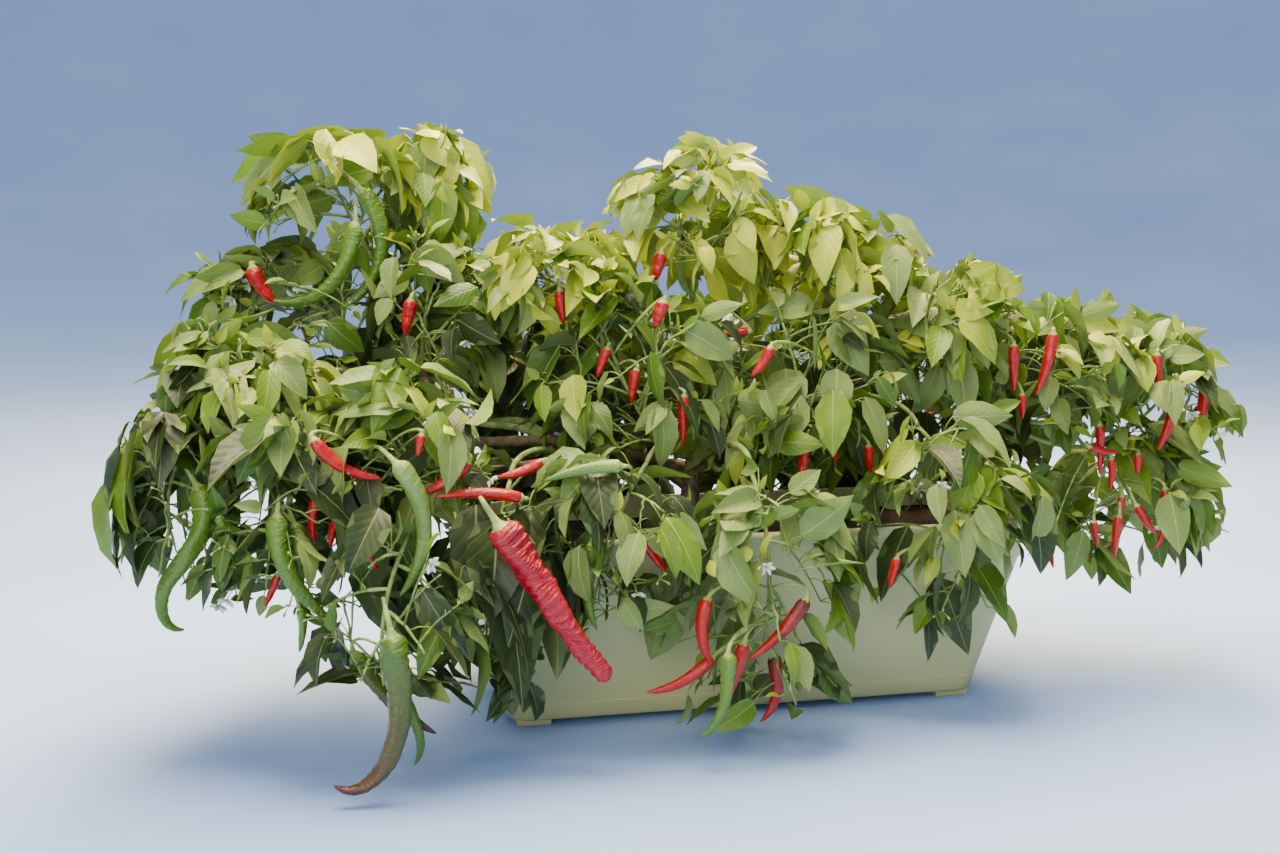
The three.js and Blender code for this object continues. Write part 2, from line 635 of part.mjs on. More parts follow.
// Leaves straight from the stem, turned round it by the golden angle
function growStemLeaves(mass) {
  for (let i = 0; i < STEM_LEAVES; i += 1) {
    const at = mix(0.25, 0.95, i / (STEM_LEAVES - 1));
    const turn = i * Math.PI * (3 - Math.sqrt(5)) + 6.3 * chance(mass.index, 5, 6);
    const along = new THREE.Vector3(Math.cos(turn), Math.sin(turn), 0.2).normalize();
    growLeaf(mass, 'stem', mass.stem.getPoint(at), along, 0, 60 + i);
  }
}

function growSideLeaves(mass, { key, name, curve }) {
  LEAF_PLACES.forEach((place, i) => {
    const hand = (i % 2 ? -1 : 1) * (key % 2 ? 1 : -1);
    growLeaf(mass, name, curve.getPoint(place), curve.getTangent(place), hand, key * 3 + i);
  });
}

// A pod on its own stalk from the stem. Its heading turns from lean by curl, and back by swing in the
// middle, in the XZ plane
function growPod([name, at, length, width, lean, curl, power, swing = 0]) {
  const mass = masses.find((one) => one.name === name);
  const { stem } = mass;
  const steps = 12;
  const path = [vec(at)];
  for (let i = 1; i <= steps; i += 1) {
    const t = (i - 0.5) / steps;
    const heading = radians(lean + curl * t ** power - swing * Math.sin(Math.PI * t));
    const step = new THREE.Vector3(Math.sin(heading), 0, -Math.cos(heading));
    path.push(path[i - 1].clone().addScaledVector(step, length / steps));
  }
  const line = new THREE.CatmullRomCurve3(path);
  const { sides, shape } = length > POD.long ? POD.large : POD.small;
  const neck = line.getPoint(0).addScaledVector(line.getTangent(0), -0.08 * length - 6);
  let from = 0.5;
  for (let t = 0.1; t <= 0.95; t += 0.05) {
    if (stem.getPoint(t).distanceTo(neck) < stem.getPoint(from).distanceTo(neck)) {
      from = t;
    }
  }
  const start = stem.getPoint(from);
  const shoulder = start.clone().lerp(neck, 0.6).addScaledVector(UP, 0.16 * start.distanceTo(neck));
  const stations = [start, shoulder, neck, ...shape.map(([t]) => line.getPoint(t))];
  const radii = [POD.stalk, POD.stalk, POD.stalk, ...shape.map(([, wide]) => (wide * width) / 2)];
  const podBody = (spare, first = 0) => solid(skin(
    ringsAlong(stations, radii.map((r) => r + spare), sides).slice(first),
    line.getPoint(1),
  ));
  const pod = podBody(0);
  const fruit = boxed(podBody(0.5, 2));
  if (touches(pod, obstacles, name) || touches(fruit.body, mass.fruits) || fruit.low.z < FLOOR_CLEAR) {
    return;
  }
  mass.pods.push(pod);
  mass.fruits.push(fruit);
  obstacles.push(boxed(podBody(0.5), name));
}

function growStem(mass) {
  const start = mass.entry.clone().addScaledVector(mass.way, GAP);
  const end = mass.centre.clone().addScaledVector(mass.centre.clone().sub(mass.entry), 0.42);
  const control = start.clone().addScaledVector(mass.way, start.distanceTo(mass.centre) * 0.8);
  mass.stem = new THREE.QuadraticBezierCurve3(start, control, end);
  const path = mass.stem.getPoints(4);
  path[1] = start.clone().addScaledVector(mass.way, path[1].distanceTo(start));
  const radii = taper(5, STEM.root, STEM.tip);
  const rings = wedgeRings(path, radii, mass.way.clone().cross(UP).add(UP));
  mass.growth = startGrowth(rings[0]);
  addShoot(mass.growth, [0, 1, 2], rings.slice(1), null, 'stem');
  mass.grown = [boxed(growthSolid(mass.growth))];
  mass.twigs = [];
  mass.pods = [];
  mass.fruits = [];
  obstacles.push(boxed(solid(skin(wedgeRings(path, radii.map((r) => r + 0.8), UP))), mass.name));
}

masses.forEach(growStem);
PODS.forEach(growPod);

function growMass(mass) {
  for (let key = 0; key < TIPS_PER_MASS; key += 1) {
    growTwig(mass, key);
  }
  mass.twigs.forEach((twig) => growSideLeaves(mass, twig));
  growStemLeaves(mass);
  const body = wasm.Manifold.union([growthSolid(mass.growth), ...mass.pods]);
  return largest(body);
}

place('pot', fromSolid(troughSolid()), COLOURS.trough, 0.55);
place('soil', fromSolid(soilSolid()), COLOURS.soil, 0.95);
place('trunk', fromSolid(trunk), COLOURS.bark, 0.85);
for (const { name, body } of boughSolids) {
  place(`bough_${name}`, fromSolid(body), COLOURS.greenWood);
}
for (const mass of masses) {
  place(`foliage_${mass.name}`, fromSolid(growMass(mass)), COLOURS.leaf);
}

// The origin is on the floor, under the middle of the whole plant
const box = new THREE.Box3().setFromObject(group);
const middle = box.getCenter(new THREE.Vector3());
group.position.set(-middle.x, -middle.y, -box.min.z);
group.updateMatrixWorld(true);

export default group;
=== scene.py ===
"""A chilli pepper plant in a moulded trough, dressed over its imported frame.

Lengths are in millimetres from the middle of the trough's foot, X along the trough, Y to the back,
Z up, until a mesh is made, which is in metres in the frame's own place."""
import functools

import bpy
import numpy as np
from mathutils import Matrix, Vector
from bpy.props import FloatProperty, FloatVectorProperty, IntProperty, PointerProperty, StringProperty


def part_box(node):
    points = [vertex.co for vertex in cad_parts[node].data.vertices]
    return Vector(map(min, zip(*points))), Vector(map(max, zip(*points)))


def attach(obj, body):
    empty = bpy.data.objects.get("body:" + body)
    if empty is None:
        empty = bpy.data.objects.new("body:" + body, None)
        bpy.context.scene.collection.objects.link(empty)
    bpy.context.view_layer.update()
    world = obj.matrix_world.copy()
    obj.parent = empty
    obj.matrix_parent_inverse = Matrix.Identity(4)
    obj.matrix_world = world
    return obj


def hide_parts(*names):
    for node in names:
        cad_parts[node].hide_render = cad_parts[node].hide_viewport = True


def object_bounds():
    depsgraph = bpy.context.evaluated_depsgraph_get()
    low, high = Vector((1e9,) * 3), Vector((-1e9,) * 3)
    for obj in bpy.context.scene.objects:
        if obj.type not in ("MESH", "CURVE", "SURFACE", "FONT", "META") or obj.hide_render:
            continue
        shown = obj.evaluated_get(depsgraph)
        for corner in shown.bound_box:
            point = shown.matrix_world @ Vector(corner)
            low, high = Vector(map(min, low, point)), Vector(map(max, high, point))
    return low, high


bl_info = {
    "name": "Chilli Pepper Plant",
    "version": (1, 0, 0),
    "blender": (4, 5, 0),
    "location": "View3D > Sidebar > Plant",
    "description": "Builds a chilli pepper plant in a moulded trough around its solid frame",
    "category": "Add Mesh",
}

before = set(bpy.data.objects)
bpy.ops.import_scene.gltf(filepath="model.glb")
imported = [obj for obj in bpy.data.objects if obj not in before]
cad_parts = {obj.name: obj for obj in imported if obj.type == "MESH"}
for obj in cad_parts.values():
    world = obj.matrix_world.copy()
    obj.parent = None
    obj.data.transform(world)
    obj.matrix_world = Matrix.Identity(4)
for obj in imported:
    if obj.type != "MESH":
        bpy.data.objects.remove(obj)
CAD_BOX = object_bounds()
LOW, HIGH = (np.array(corner) * 1000 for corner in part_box("pot"))
MIDDLE = np.array([(LOW[0] + HIGH[0]) / 2, (LOW[1] + HIGH[1]) / 2, 0])
SOIL_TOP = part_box("soil")[1][2] * 1000
# How far the leaves may stand out past the corners of the solids' box
REACH = 12
NEAR, FAR = (np.array(corner) * 1000 - MIDDLE + REACH * side for corner, side in zip(CAD_BOX, (-1, 1)))
UP = np.array([0.0, 0.0, 1.0])
# Nearly up, and never quite along a twig, so that a way square to both can be taken
NEAR_UP = UP + 0.01
GOLDEN = np.pi * (3 - np.sqrt(5))
# Roughly a full turn, for an angle by chance
CIRCLE = 6.3

# Sizes that the limbs and masses grow by, the same as the solids': the trunk's, how far the leaves
# reach against a mass's half sizes, and the gap between a limb and the next
TRUNK = {"foot": (-60, 12), "lean": (6, 4), "height": 96, "base": 15, "tip": 11.5, "flare": 10,
         "lobes": 5}
SWELL = 1.36
GAP = 0.3
# A bough ends this share of the way out in its mass, or as much less as leaves that much room to the
# mass's walls, and its last step, which gives the stem's heading, is shorter on a long one
ENTRY, ENTRY_ROOM = 0.92, 9
LONG_BOUGH, LONG_STEPS, SHORT_STEPS = 260, 6, 4
BOUGH_TIP = 2.8
# Twigs to a mass and finer ones to a twig, the nearest that a twig may point to the bough that comes
# in, as a cosine, and the room that its tip keeps to the walls, over the ground and under the top
TIPS, FORKS = 9, 5
BEHIND = 0.86
TIP_ROOM, TIP_OVER, TIP_UNDER = 6, 20, 30
# Turns sideways and drops that a leaf tries
LEAF_TRIES = [(0, 0), (0.7, 0.1), (-0.7, 0.1), (0, 0.7), (1.2, 0.3), (-1.2, 0.3), (0.4, 1.4), (-0.4, 1.4),
              (0, -0.4)]
# What leaves stay clear of: the trough, by half its length and depth and its height, the floor, and
# more than that beyond the trough's left end. They may pass a wall between masses by a little
TROUGH_CLEAR, RIM_CLEAR = (388, 158), 266
FLOOR_CLEAR, LEFT_END = 12, -420
OVERLAP = 16
# The leaves that hang over the front rim are all kept: those before this depth, as near as this to
# the middle, and within so much of this height
RIM_DEPTH, RIM_LENGTH, RIM_HEIGHT, RIM_BAND = -120, 400, 280, 50
# How close to a pod's skin a leaf may come, how wide and how far out in front of a pod the view is
# kept open, which pods count as long, and which way those before and behind a depth look out
POD_ROOM, POD_MARGIN, POD_VIEW, LONG_POD = 3, 5, 160, 110
BACK_PODS, FRONT_WAY, BACK_WAY = 120, [[-0.27, -0.95, 0.13]], [[0.0, 1.0, 0.1]]
# A twig's key is its own number. A finer one's is its parent's times FORK_KEYS plus its own number,
# from FINE_KEYS on, and a leaf's is its twig's times LEAF_KEYS plus its own number
FINE_KEYS, FORK_KEYS, LEAF_KEYS, MASS_KEYS = 200, 16, 8, 10000

# Masses of foliage: name, centre, half sizes, the side that the bough comes in from, the limb that it
# forks from, how far along that limb, its radius there and how high it arches
MASSES = [
    ("crown_peak", (-38, 30, 648), (108, 92, 88), (-0.1, 0, -1), "trunk", 1, 9, 0.2),
    ("left_front", (-470, -170, 374), (99, 80, 92), (1, 0.56, -0.2), "trunk", 0.78, 8.5, 0.2),
    ("right_shoulder", (315, 0, 494), (98, 98, 93), (-1, 0, -0.55), "trunk", 0.82, 9, 0.2),
    ("left_mid", (-656, -30, 432), (106, 90, 96), (1, 0.1, -0.4), "trunk", 0.66, 9, 0.2),
    ("front_low", (-28, -225, 188), (118, 70, 150), (0, 0.5, 1), "trunk", 0.9, 6.5, 0.2),
    ("back_mid_left", (-190, 190, 430), (140, 100, 130), (0.5, -0.6, -0.7), "trunk", 0.88, 7.5, 0.2),
    ("back_mid_right", (105, 190, 425), (140, 100, 130), (-0.6, -0.6, -0.7), "trunk", 0.95, 7.5, 0.2),
    ("peak_right", (142, 20, 601), (106, 92, 79), (-0.8, 0, -0.7), "crown_peak", 0.42, 5.5, 0.2),
    ("saddle", (-237, 20, 573), (106, 92, 72), (0.8, 0, -0.7), "crown_peak", 0.3, 5.5, 0.2),
    ("centre_left", (-155, -65, 455), (126, 90, 124), (0.6, 0.4, -0.8), "crown_peak", 0.12, 5, 0.2),
    ("centre_right", (85, -65, 428), (128, 90, 128), (-0.7, 0.4, -0.7), "crown_peak", 0.2, 5, 0.2),
    ("right_high", (486, 10, 442), (96, 93, 96), (-1, 0, -0.25), "right_shoulder", 0.7, 6, 0.2),
    ("right_tip", (656, 20, 394), (86, 88, 111), (-1, 0, -0.6), "right_high", 0.45, 5, 0.02),
    ("right_droop", (608, 10, 254), (130, 92, 100), (-0.6, 0, 0.9), "right_tip", 0.4, 4.5, 0.06),
    ("right_front", (254, -165, 267), (115, 75, 149), (-0.3, 0.6, 0.9), "right_shoulder", 0.35, 5, 0.2),
    ("front_left", (-205, -205, 270), (94, 72, 110), (0.5, 0.5, 0.9), "front_low", 0.35, 4.5, 0.2),
    ("front_dark", (-345, -215, 224), (83, 72, 128), (0.1, 0.5, 1), "left_front", 0.62, 5, 0.2),
    ("left_hang", (-492, -270, 177), (84, 78, 165), (0.4, 0.4, 1), "left_front", 0.82, 5, 0.2),
    ("left_outer", (-612, -170, 306), (94, 80, 125), (0.7, 0.5, 0.7), "left_mid", 0.78, 5, 0.2),
    ("left_tip", (-737, -110, 318), (65, 72, 118), (0.4, 0.5, 0.9), "left_mid", 0.93, 4.5, 0.2),
    ("left_join", (-395, 60, 528), (98, 95, 102), (0.2, -0.3, -1), "left_mid", 0.44, 5.5, 0.2),
    ("tall_low", (-566, 120, 540), (146, 95, 78), (0.7, -0.4, -0.7), "left_mid", 0.8, 5, 0.2),
    ("tall_left", (-510, 150, 672), (130, 96, 96), (0.35, -0.1, -1), "left_mid", 0.72, 7, 0.2),
    ("tall_right", (-395, 170, 698), (65, 78, 93), (0, -0.1, -1), "tall_left", 0.35, 5, 0.2),
    ("back_left", (-470, 190, 340), (150, 92, 140), (0.7, -0.6, 0.2), "left_mid", 0.42, 5.5, 0.2),
    ("back_right", (385, 165, 345), (145, 95, 145), (-0.7, -0.6, 0.2), "right_shoulder", 0.55, 5.5, 0.2),
    ("back_low_left", (-170, 245, 225), (150, 70, 112), (0.2, -0.5, 1), "back_mid_left", 0.6, 4.5, 0.2),
    ("back_low_right", (175, 245, 220), (150, 70, 112), (-0.2, -0.5, 1), "back_mid_right", 0.6, 4.5, 0.2),
]
# Leaves of each mass: their length, how much shade is painted into their colour, from 0 for young
# leaves with painted sunlight to 1 for deep green with painted shade, and the share of them that is left
LEAF_LOOKS = {
    "crown_peak": (70, -0.2, 1), "left_front": (86, 0.55, 0.82), "right_shoulder": (82, 0.3, 1),
    "left_mid": (78, 0.5, 0.9), "front_low": (80, 0.5, 0.52), "back_mid_left": (88, 0.85, 1),
    "back_mid_right": (88, 0.85, 1), "peak_right": (77, 0.0, 1), "saddle": (70, -0.08, 1),
    "centre_left": (72, 0.45, 0.85), "centre_right": (72, 0.4, 0.85), "right_high": (80, 0.4, 1),
    "right_tip": (78, 0.45, 0.8), "right_droop": (94, 0.45, 0.9), "right_front": (84, 0.5, 0.4),
    "front_left": (76, 0.6, 0.72), "front_dark": (138, 1.2, 1), "left_hang": (104, 0.9, 0.85),
    "left_outer": (92, 0.75, 0.74), "left_tip": (98, 0.68, 0.7), "left_join": (80, 0.6, 0.85),
    "tall_low": (82, 0.6, 0.85), "tall_left": (106, 0.4, 0.64), "tall_right": (92, 0.08, 0.68),
    "back_left": (90, 0.9, 1), "back_right": (74, 0.75, 1), "back_low_left": (92, 1, 1),
    "back_low_right": (90, 1, 1),
}
NAMES = [row[0] for row in MASSES]
CENTRE = np.array([row[1] for row in MASSES], float)
HALF = np.array([row[2] for row in MASSES], float) * SWELL
SIDE = np.array([row[3] for row in MASSES], float)
LEAF_LENGTH, SHADE, FULL = np.array([LEAF_LOOKS[name] for name in NAMES], float).T
# Beyond the trough's left end the leaves of these masses keep this high, and only pods hang lower
LEFT_LOW = {"left_hang": 112, "left_tip": 205, "left_outer": 190}
LEFT_CLEAR = np.array([LEFT_LOW.get(name, FLOOR_CLEAR) for name in NAMES])

# Pods: mass, place of the stalk end, length, width, lean from straight down towards +X, turn of that
# lean by the tip, power that the turn grows by, ripeness, and where the pod bends to and fro, how far
# it swings back in the middle
PODS = [
    ("front_dark", (-367, -300, 312), 231, 42, 32, 3, 1, "crimson"),
    ("left_tip", (-711, -135, 344), 207, 29, 28, 75, 7, "green", 66),
    ("left_outer", (-618, -225, 321), 149, 27, -4, 62, 1.1, "green"),
    ("left_outer", (-598, -205, 306), 139, 20, 18, 58, 2, "green", 34),
    ("left_front", (-481, -262, 384), 172, 25, 42, -84, 1, "pale"),
    ("left_hang", (-496, -335, 199), 225, 33, 12, -150, 4.2, "turning", 14),
    ("left_hang", (-534, -262, 160), 141, 21, 26, 32, 1, "turning"),
    ("left_hang", (-484, -280, 119), 98, 17, 24, -60, 3, "green"),
    ("tall_left", (-506, 60, 657), 187, 24, -8, -115, 1.5, "green"),
    ("tall_left", (-494, 80, 700), 186, 25, 40, -105, 1, "green"),
    ("left_tip", (-686, -165, 312), 44, 14, 20, 80, 1, "green"),
    ("left_outer", (-595, -215, 205), 52, 13, 14, -34, 1, "green"),
    ("left_outer", (-620, -200, 245), 40, 11, -20, -6, 1, "red"),
    ("left_outer", (-560, -200, 352), 40, 13, 34, -40, 1, "red"),
    ("left_outer", (-571, -196, 336), 56, 14, -24, 40, 1, "red"),
    ("left_outer", (-548, -210, 316), 40, 12, -24, 20, 1, "red"),
    ("left_hang", (-521, -240, 284), 34, 13, 30, 0, 1, "red"),
    ("front_left", (-215, -262, 372), 95, 17, -92, 22, 1, "pale"),
    ("front_left", (-252, -262, 277), 107, 19, -8, 36, 2, "green"),
    ("left_front", (-575, -240, 413), 95, 17, 30, 56, 1, "red"),
    ("left_front", (-395, -235, 380), 70, 17, -40, -34, 1, "red"),
    ("left_front", (-452, -262, 418), 26, 12, -10, 0, 1, "red"),
    ("front_dark", (-332, -245, 335), 104, 16, -104, 22, 1, "red"),
    ("front_dark", (-300, -205, 372), 60, 15, -58, -30, 1, "red"),
    ("crown_peak", (-112, -40, 618), 36, 19, -12, 0, 1, "red"),
    ("crown_peak", (2, -62, 514), 40, 14, -88, 8, 1, "red"),
    ("centre_left", (-130, -130, 560), 34, 19, -20, 0, 1, "red"),
    ("centre_left", (-105, -140, 440), 66, 14, -6, 10, 1, "red"),
    ("centre_left", (-166, -132, 474), 44, 15, -18, 20, 1, "red"),
    ("centre_right", (10, -140, 500), 46, 16, -18, -34, 1, "red"),
    ("centre_right", (59, -140, 370), 62, 15, -6, 0, 1, "red"),
    ("centre_right", (97, -138, 386), 40, 13, 12, -10, 1, "red"),
    ("centre_right", (148, -138, 366), 36, 14, 5, 0, 1, "red"),
    ("saddle", (-252, -60, 572), 44, 15, 2, 10, 1, "red"),
    ("centre_left", (-200, -112, 500), 40, 14, -20, 0, 1, "red"),
    ("front_left", (-190, -262, 285), 56, 14, 30, 10, 1, "red"),
    ("front_left", (-222, -250, 312), 44, 13, 44, -20, 1, "red"),
    ("right_shoulder", (380, -80, 490), 64, 16, 2, 0, 1, "red"),
    ("right_shoulder", (400, -70, 420), 34, 13, 2, 0, 1, "red"),
    ("right_high", (443, -72, 505), 90, 18, -4, -22, 1, "red"),
    ("right_tip", (620, -48, 470), 84, 14, 4, 0, 1, "red"),
    ("right_tip", (648, -58, 427), 100, 20, -2, -28, 1, "red"),
    ("right_tip", (706, -36, 420), 84, 19, 2, -22, 1, "red"),
    ("right_droop", (536, -44, 369), 72, 14, 4, -4, 1, "red"),
    ("right_droop", (516, -52, 340), 48, 12, 66, 24, 1, "red"),
    ("right_droop", (549, -56, 322), 46, 13, 14, -30, 1, "red"),
    ("right_droop", (595, -50, 326), 30, 14, 0, 0, 1, "red"),
    ("right_droop", (568, -56, 266), 34, 12, 0, 0, 1, "red"),
    ("right_droop", (634, -60, 276), 95, 15, 10, -58, 2, "red"),
    ("right_droop", (586, -66, 254), 56, 14, 32, 12, 1, "red"),
    ("right_droop", (557, -70, 240), 62, 15, -8, 6, 1, "red"),
    ("right_droop", (518, -70, 234), 38, 11, 10, 0, 1, "red"),
    ("right_droop", (456, -60, 200), 34, 10, 6, 10, 1, "ripening"),
    ("right_front", (160, -215, 230), 40, 14, -14, 0, 1, "red"),
    ("front_low", (-110, -278, 207), 86, 19, -24, 56, 1, "red"),
    ("front_low", (-99, -262, 129), 96, 16, -42, -46, 1, "red"),
    ("front_low", (-66, -284, 150), 84, 18, -12, -12, 1, "red"),
    ("front_low", (-94, -314, 146), 112, 20, 2, -62, 2, "green"),
    ("front_low", (14, -282, 200), 104, 19, -30, -32, 1, "ripening"),
    ("front_low", (-12, -238, 118), 92, 20, 10, -66, 2, "ripening"),
    ("tall_low", (-640, 60, 600), 56, 24, 12, 40, 1, "red"),
    ("left_join", (-440, -10, 559), 46, 20, -10, 0, 1, "red"),
    ("back_left", (-500, 262, 380), 84, 19, 14, -20, 2, "green"),
    ("back_mid_left", (-180, 272, 470), 62, 18, -8, 12, 1, "red"),
    ("back_mid_right", (120, 272, 450), 70, 18, 10, -16, 1, "red"),
    ("back_right", (400, 244, 370), 78, 19, -6, 18, 2, "red"),
]


class LeafSettings(bpy.types.PropertyGroup):
    """How the leaves look."""
    size: FloatProperty(name="Size", description="Length of the leaves against their own usual length",
                        default=1.0, min=0.5, max=1.5)
    width: FloatProperty(name="Width", description="Width of a blade for a length of 1", default=0.53)
    thickness: FloatProperty(name="Thickness", description="Thickness of a blade in the middle",
                             default=0.0006, unit="LENGTH")
    # The tones are partly painted light: young is young leaves and also painted sunlight with glow from
    # behind, grey is grey-green with a painted sheen from the sky, and dark is painted shade over deep
    # green
    young: StringProperty(name="Young", description="Colour of young, sunlit leaves", default="#D4DA40")
    spring: StringProperty(name="Spring", description="Colour of light green leaves", default="#A6B630")
    middle: StringProperty(name="Middle", description="Colour of grown leaves", default="#6E901C")
    grey: StringProperty(name="Grey", description="Colour of leaves with a bloom", default="#829A50")
    deep: StringProperty(name="Deep", description="Colour of deep green leaves", default="#446818")
    dark: StringProperty(name="Dark", description="Colour of shaded leaves", default="#2A391E")


class PodSettings(bpy.types.PropertyGroup):
    """How the pods look."""
    stations: IntProperty(name="Stations", description="Rings along a pod", default=52, min=8)
    sides: IntProperty(name="Sides", description="Points round a pod", default=16, min=6)
    red: StringProperty(name="Red", description="Colour of a ripe pod", default="#AE080A")
    crimson: StringProperty(name="Crimson", description="Colour of a large ripe pod", default="#A80620")
    green: StringProperty(name="Green", description="Colour of a green pod", default="#4A6E16")
    pale: StringProperty(name="Pale", description="Colour of a young pod", default="#7F9A4C")
    brown: StringProperty(name="Brown", description="Colour of a pod that turns", default="#4E1E10")


class TroughSettings(bpy.types.PropertyGroup):
    """The moulded trough."""
    length: FloatProperty(name="Length", description="Over the rim", default=0.760, unit="LENGTH")
    depth: FloatProperty(name="Depth", description="Over the rim", default=0.300, unit="LENGTH")
    height: FloatProperty(name="Height", description="From the floor to the rim", default=0.258,
                          unit="LENGTH")
    base_length: FloatProperty(name="Base length", description="At the foot", default=0.660,
                               unit="LENGTH")
    base_depth: FloatProperty(name="Base depth", description="At the foot", default=0.204, unit="LENGTH")
    wall: FloatProperty(name="Wall", description="Thickness of the wall", default=0.005, unit="LENGTH")
    band: FloatProperty(name="Band", description="Height of the upright band", default=0.052,
                        unit="LENGTH")
    colour: StringProperty(name="Colour", description="Colour of the plastic", default="#C3C287")


class StageSettings(bpy.types.PropertyGroup):
    """Camera, floor and lights."""
    camera: FloatVectorProperty(name="Camera", description="Place of the camera, from the trough's foot",
                                default=(-0.6164, -2.1122, 0.6821), subtype="TRANSLATION")
    yaw: FloatProperty(name="Yaw", description="Turn to the right", default=0.2258, subtype="ANGLE")
    pitch: FloatProperty(name="Pitch", description="Turn down", default=0.1376, subtype="ANGLE")
    lens: FloatProperty(name="Lens", description="Focal length", default=45, unit="CAMERA")


# Numbers

def unit(v):
    """v divided by its own length, along the last axis."""
    return v / np.maximum(np.linalg.norm(v, axis=-1, keepdims=True), 1e-9)


def dot(a, b):
    """Sum of the products of a and b, along the last axis, which is kept."""
    return np.sum(a * b, axis=-1, keepdims=True)


def mix(a, b, t):
    """The point t of the way from a to b."""
    return a + (b - a) * t


def chance(a, b, c):
    """Repeatable numbers from 0 to 1 for whole numbers a, b and c: three products with large odd
    numbers, xored, and stirred twice by a shifted xor and another product. a is a mass, b a key in
    it, and c another number for each thing that is left to chance."""
    a, b, c = np.broadcast_arrays(*(np.asarray(x, np.uint32) for x in (a, b, c)))
    with np.errstate(over="ignore"):
        h = (a + np.uint32(1)) * np.uint32(0x9E3779B1)
        h = h ^ ((b + np.uint32(7)) * np.uint32(0x85EBCA77))
        h = h ^ ((c + np.uint32(13)) * np.uint32(0xC2B2AE3D))
        h = (h ^ (h >> np.uint32(15))) * np.uint32(0x2C1B3C6D)
        h = (h ^ (h >> np.uint32(12))) * np.uint32(0x297A2D39)
    return (h ^ (h >> np.uint32(15))) / 4294967296.0


def bezier(controls, t):
    """Points of Bezier curves at t, by halving down: each step mixes neighbouring controls by t.
    controls is (..., count, 3), and t is (..., steps), or (steps,) for all curves alike."""
    points = [controls[..., None, i, :] for i in range(controls.shape[-2])]
    while len(points) > 1:
        points = [mix(p, q, t[..., None]) for p, q in zip(points, points[1:])]
    return points[0]


def turns(sides):
    """Angles of the points round a ring, from 0."""
    return 2 * np.pi * np.arange(sides) / sides


def square_to(axis, turn):
    """A way square to axis, turned round it: a first such way times the cosine of the turn, plus the
    way square to both times its sine."""
    side = unit(np.cross(axis, NEAR_UP))
    return side * np.cos(turn)[:, None] + np.cross(axis, side) * np.sin(turn)[:, None]


# Limbs and masses, by the rule that the solids follow

def span_along(mass, way):
    """How far an ellipsoid reaches along a way: 1 over the length of way divided by the half sizes."""
    return 1 / np.linalg.norm(way / HALF[mass], axis=-1)


@functools.lru_cache(None)
def walls():
    """The planes between each mass and each other: the way to the other, and how far along it the
    plane lies, which shares the gap by how far each ellipsoid reaches."""
    way = CENTRE[None] - CENTRE[:, None]
    apart = np.linalg.norm(way, axis=-1)
    index = np.arange(len(NAMES))
    way[index, index] = UP
    way = unit(way)
    own, other = span_along(index[:, None], way), span_along(index[None], way)
    limit = np.sum(way * CENTRE[:, None], -1) + apart * own / (own + other)
    limit[index, index] = np.inf
    return way, limit


def room_left(mass, points):
    """Distance from each point to the nearest wall of its mass, less than 0 outside."""
    way, limit = walls()
    return np.min(limit[mass] - np.einsum("...oj,...j->...o", way[mass], points), axis=-1)


def depth_in(mass, points):
    """1 on the ellipsoid of the mass, 0 in its middle."""
    return np.linalg.norm((points - CENTRE[mass]) / HALF[mass], axis=-1)


def trunk_point(t):
    """A point on the trunk's line from its foot, t of the way to its fork."""
    foot = np.array([*TRUNK["foot"], SOIL_TOP + GAP])
    return mix(foot, foot + np.array([*TRUNK["lean"], TRUNK["height"]]), t)


@functools.lru_cache(None)
def limbs():
    """The boughs as cubic Bezier controls, their radii at both ends, and the controls of the stem that
    goes on from each in its mass."""
    boughs, radii, stems, entries = [], [], [], []
    # Each bough rises from its fork and settles at its entry, and its stem goes on past the middle
    for index, row in enumerate(MASSES):
        parent, fork, thick, arch = row[4:8]
        if parent == "trunk":
            start = trunk_point(fork)
        else:
            start = bezier(boughs[NAMES.index(parent)], np.array([fork]))[0]
        way = unit(SIDE[index]) * HALF[index]
        reach = ENTRY
        while room_left(index, CENTRE[index] + way * reach) < ENTRY_ROOM:
            reach -= 0.02
        end = CENTRE[index] + way * reach
        length = np.linalg.norm(end - start)
        rise = mix(start, end, 0.3) + UP * arch * length
        settle = end - unit(CENTRE[index] - end) * 0.3 * length
        controls = np.array([start, rise, settle, end])
        steps = LONG_STEPS if length > LONG_BOUGH else SHORT_STEPS
        last = bezier(controls, np.array([1 - 1 / steps, 1.0]))
        heading = unit(last[1] - last[0])
        first = end + heading * GAP
        control = first + heading * np.linalg.norm(CENTRE[index] - first) * 0.8
        boughs.append(controls)
        radii.append((thick, max(BOUGH_TIP, thick * 0.5)))
        stems.append([first, control, CENTRE[index] + 0.42 * (CENTRE[index] - end)])
        entries.append(end)
    return np.array(boughs), np.array(radii), np.array(stems), np.array(entries)


def drawn_in(mass, tips):
    """Tips drawn towards the middle of their mass, a tenth at a time, until they lie in its space."""
    for _ in range(40):
        out = room_left(mass, tips) < TIP_ROOM
        out |= (tips[..., 2] < LEFT_CLEAR[mass] + TIP_OVER) | (tips[..., 2] > FAR[2] - TIP_UNDER)
        tips = np.where(out[..., None], mix(tips, CENTRE[mass], 0.1), tips)
    return tips


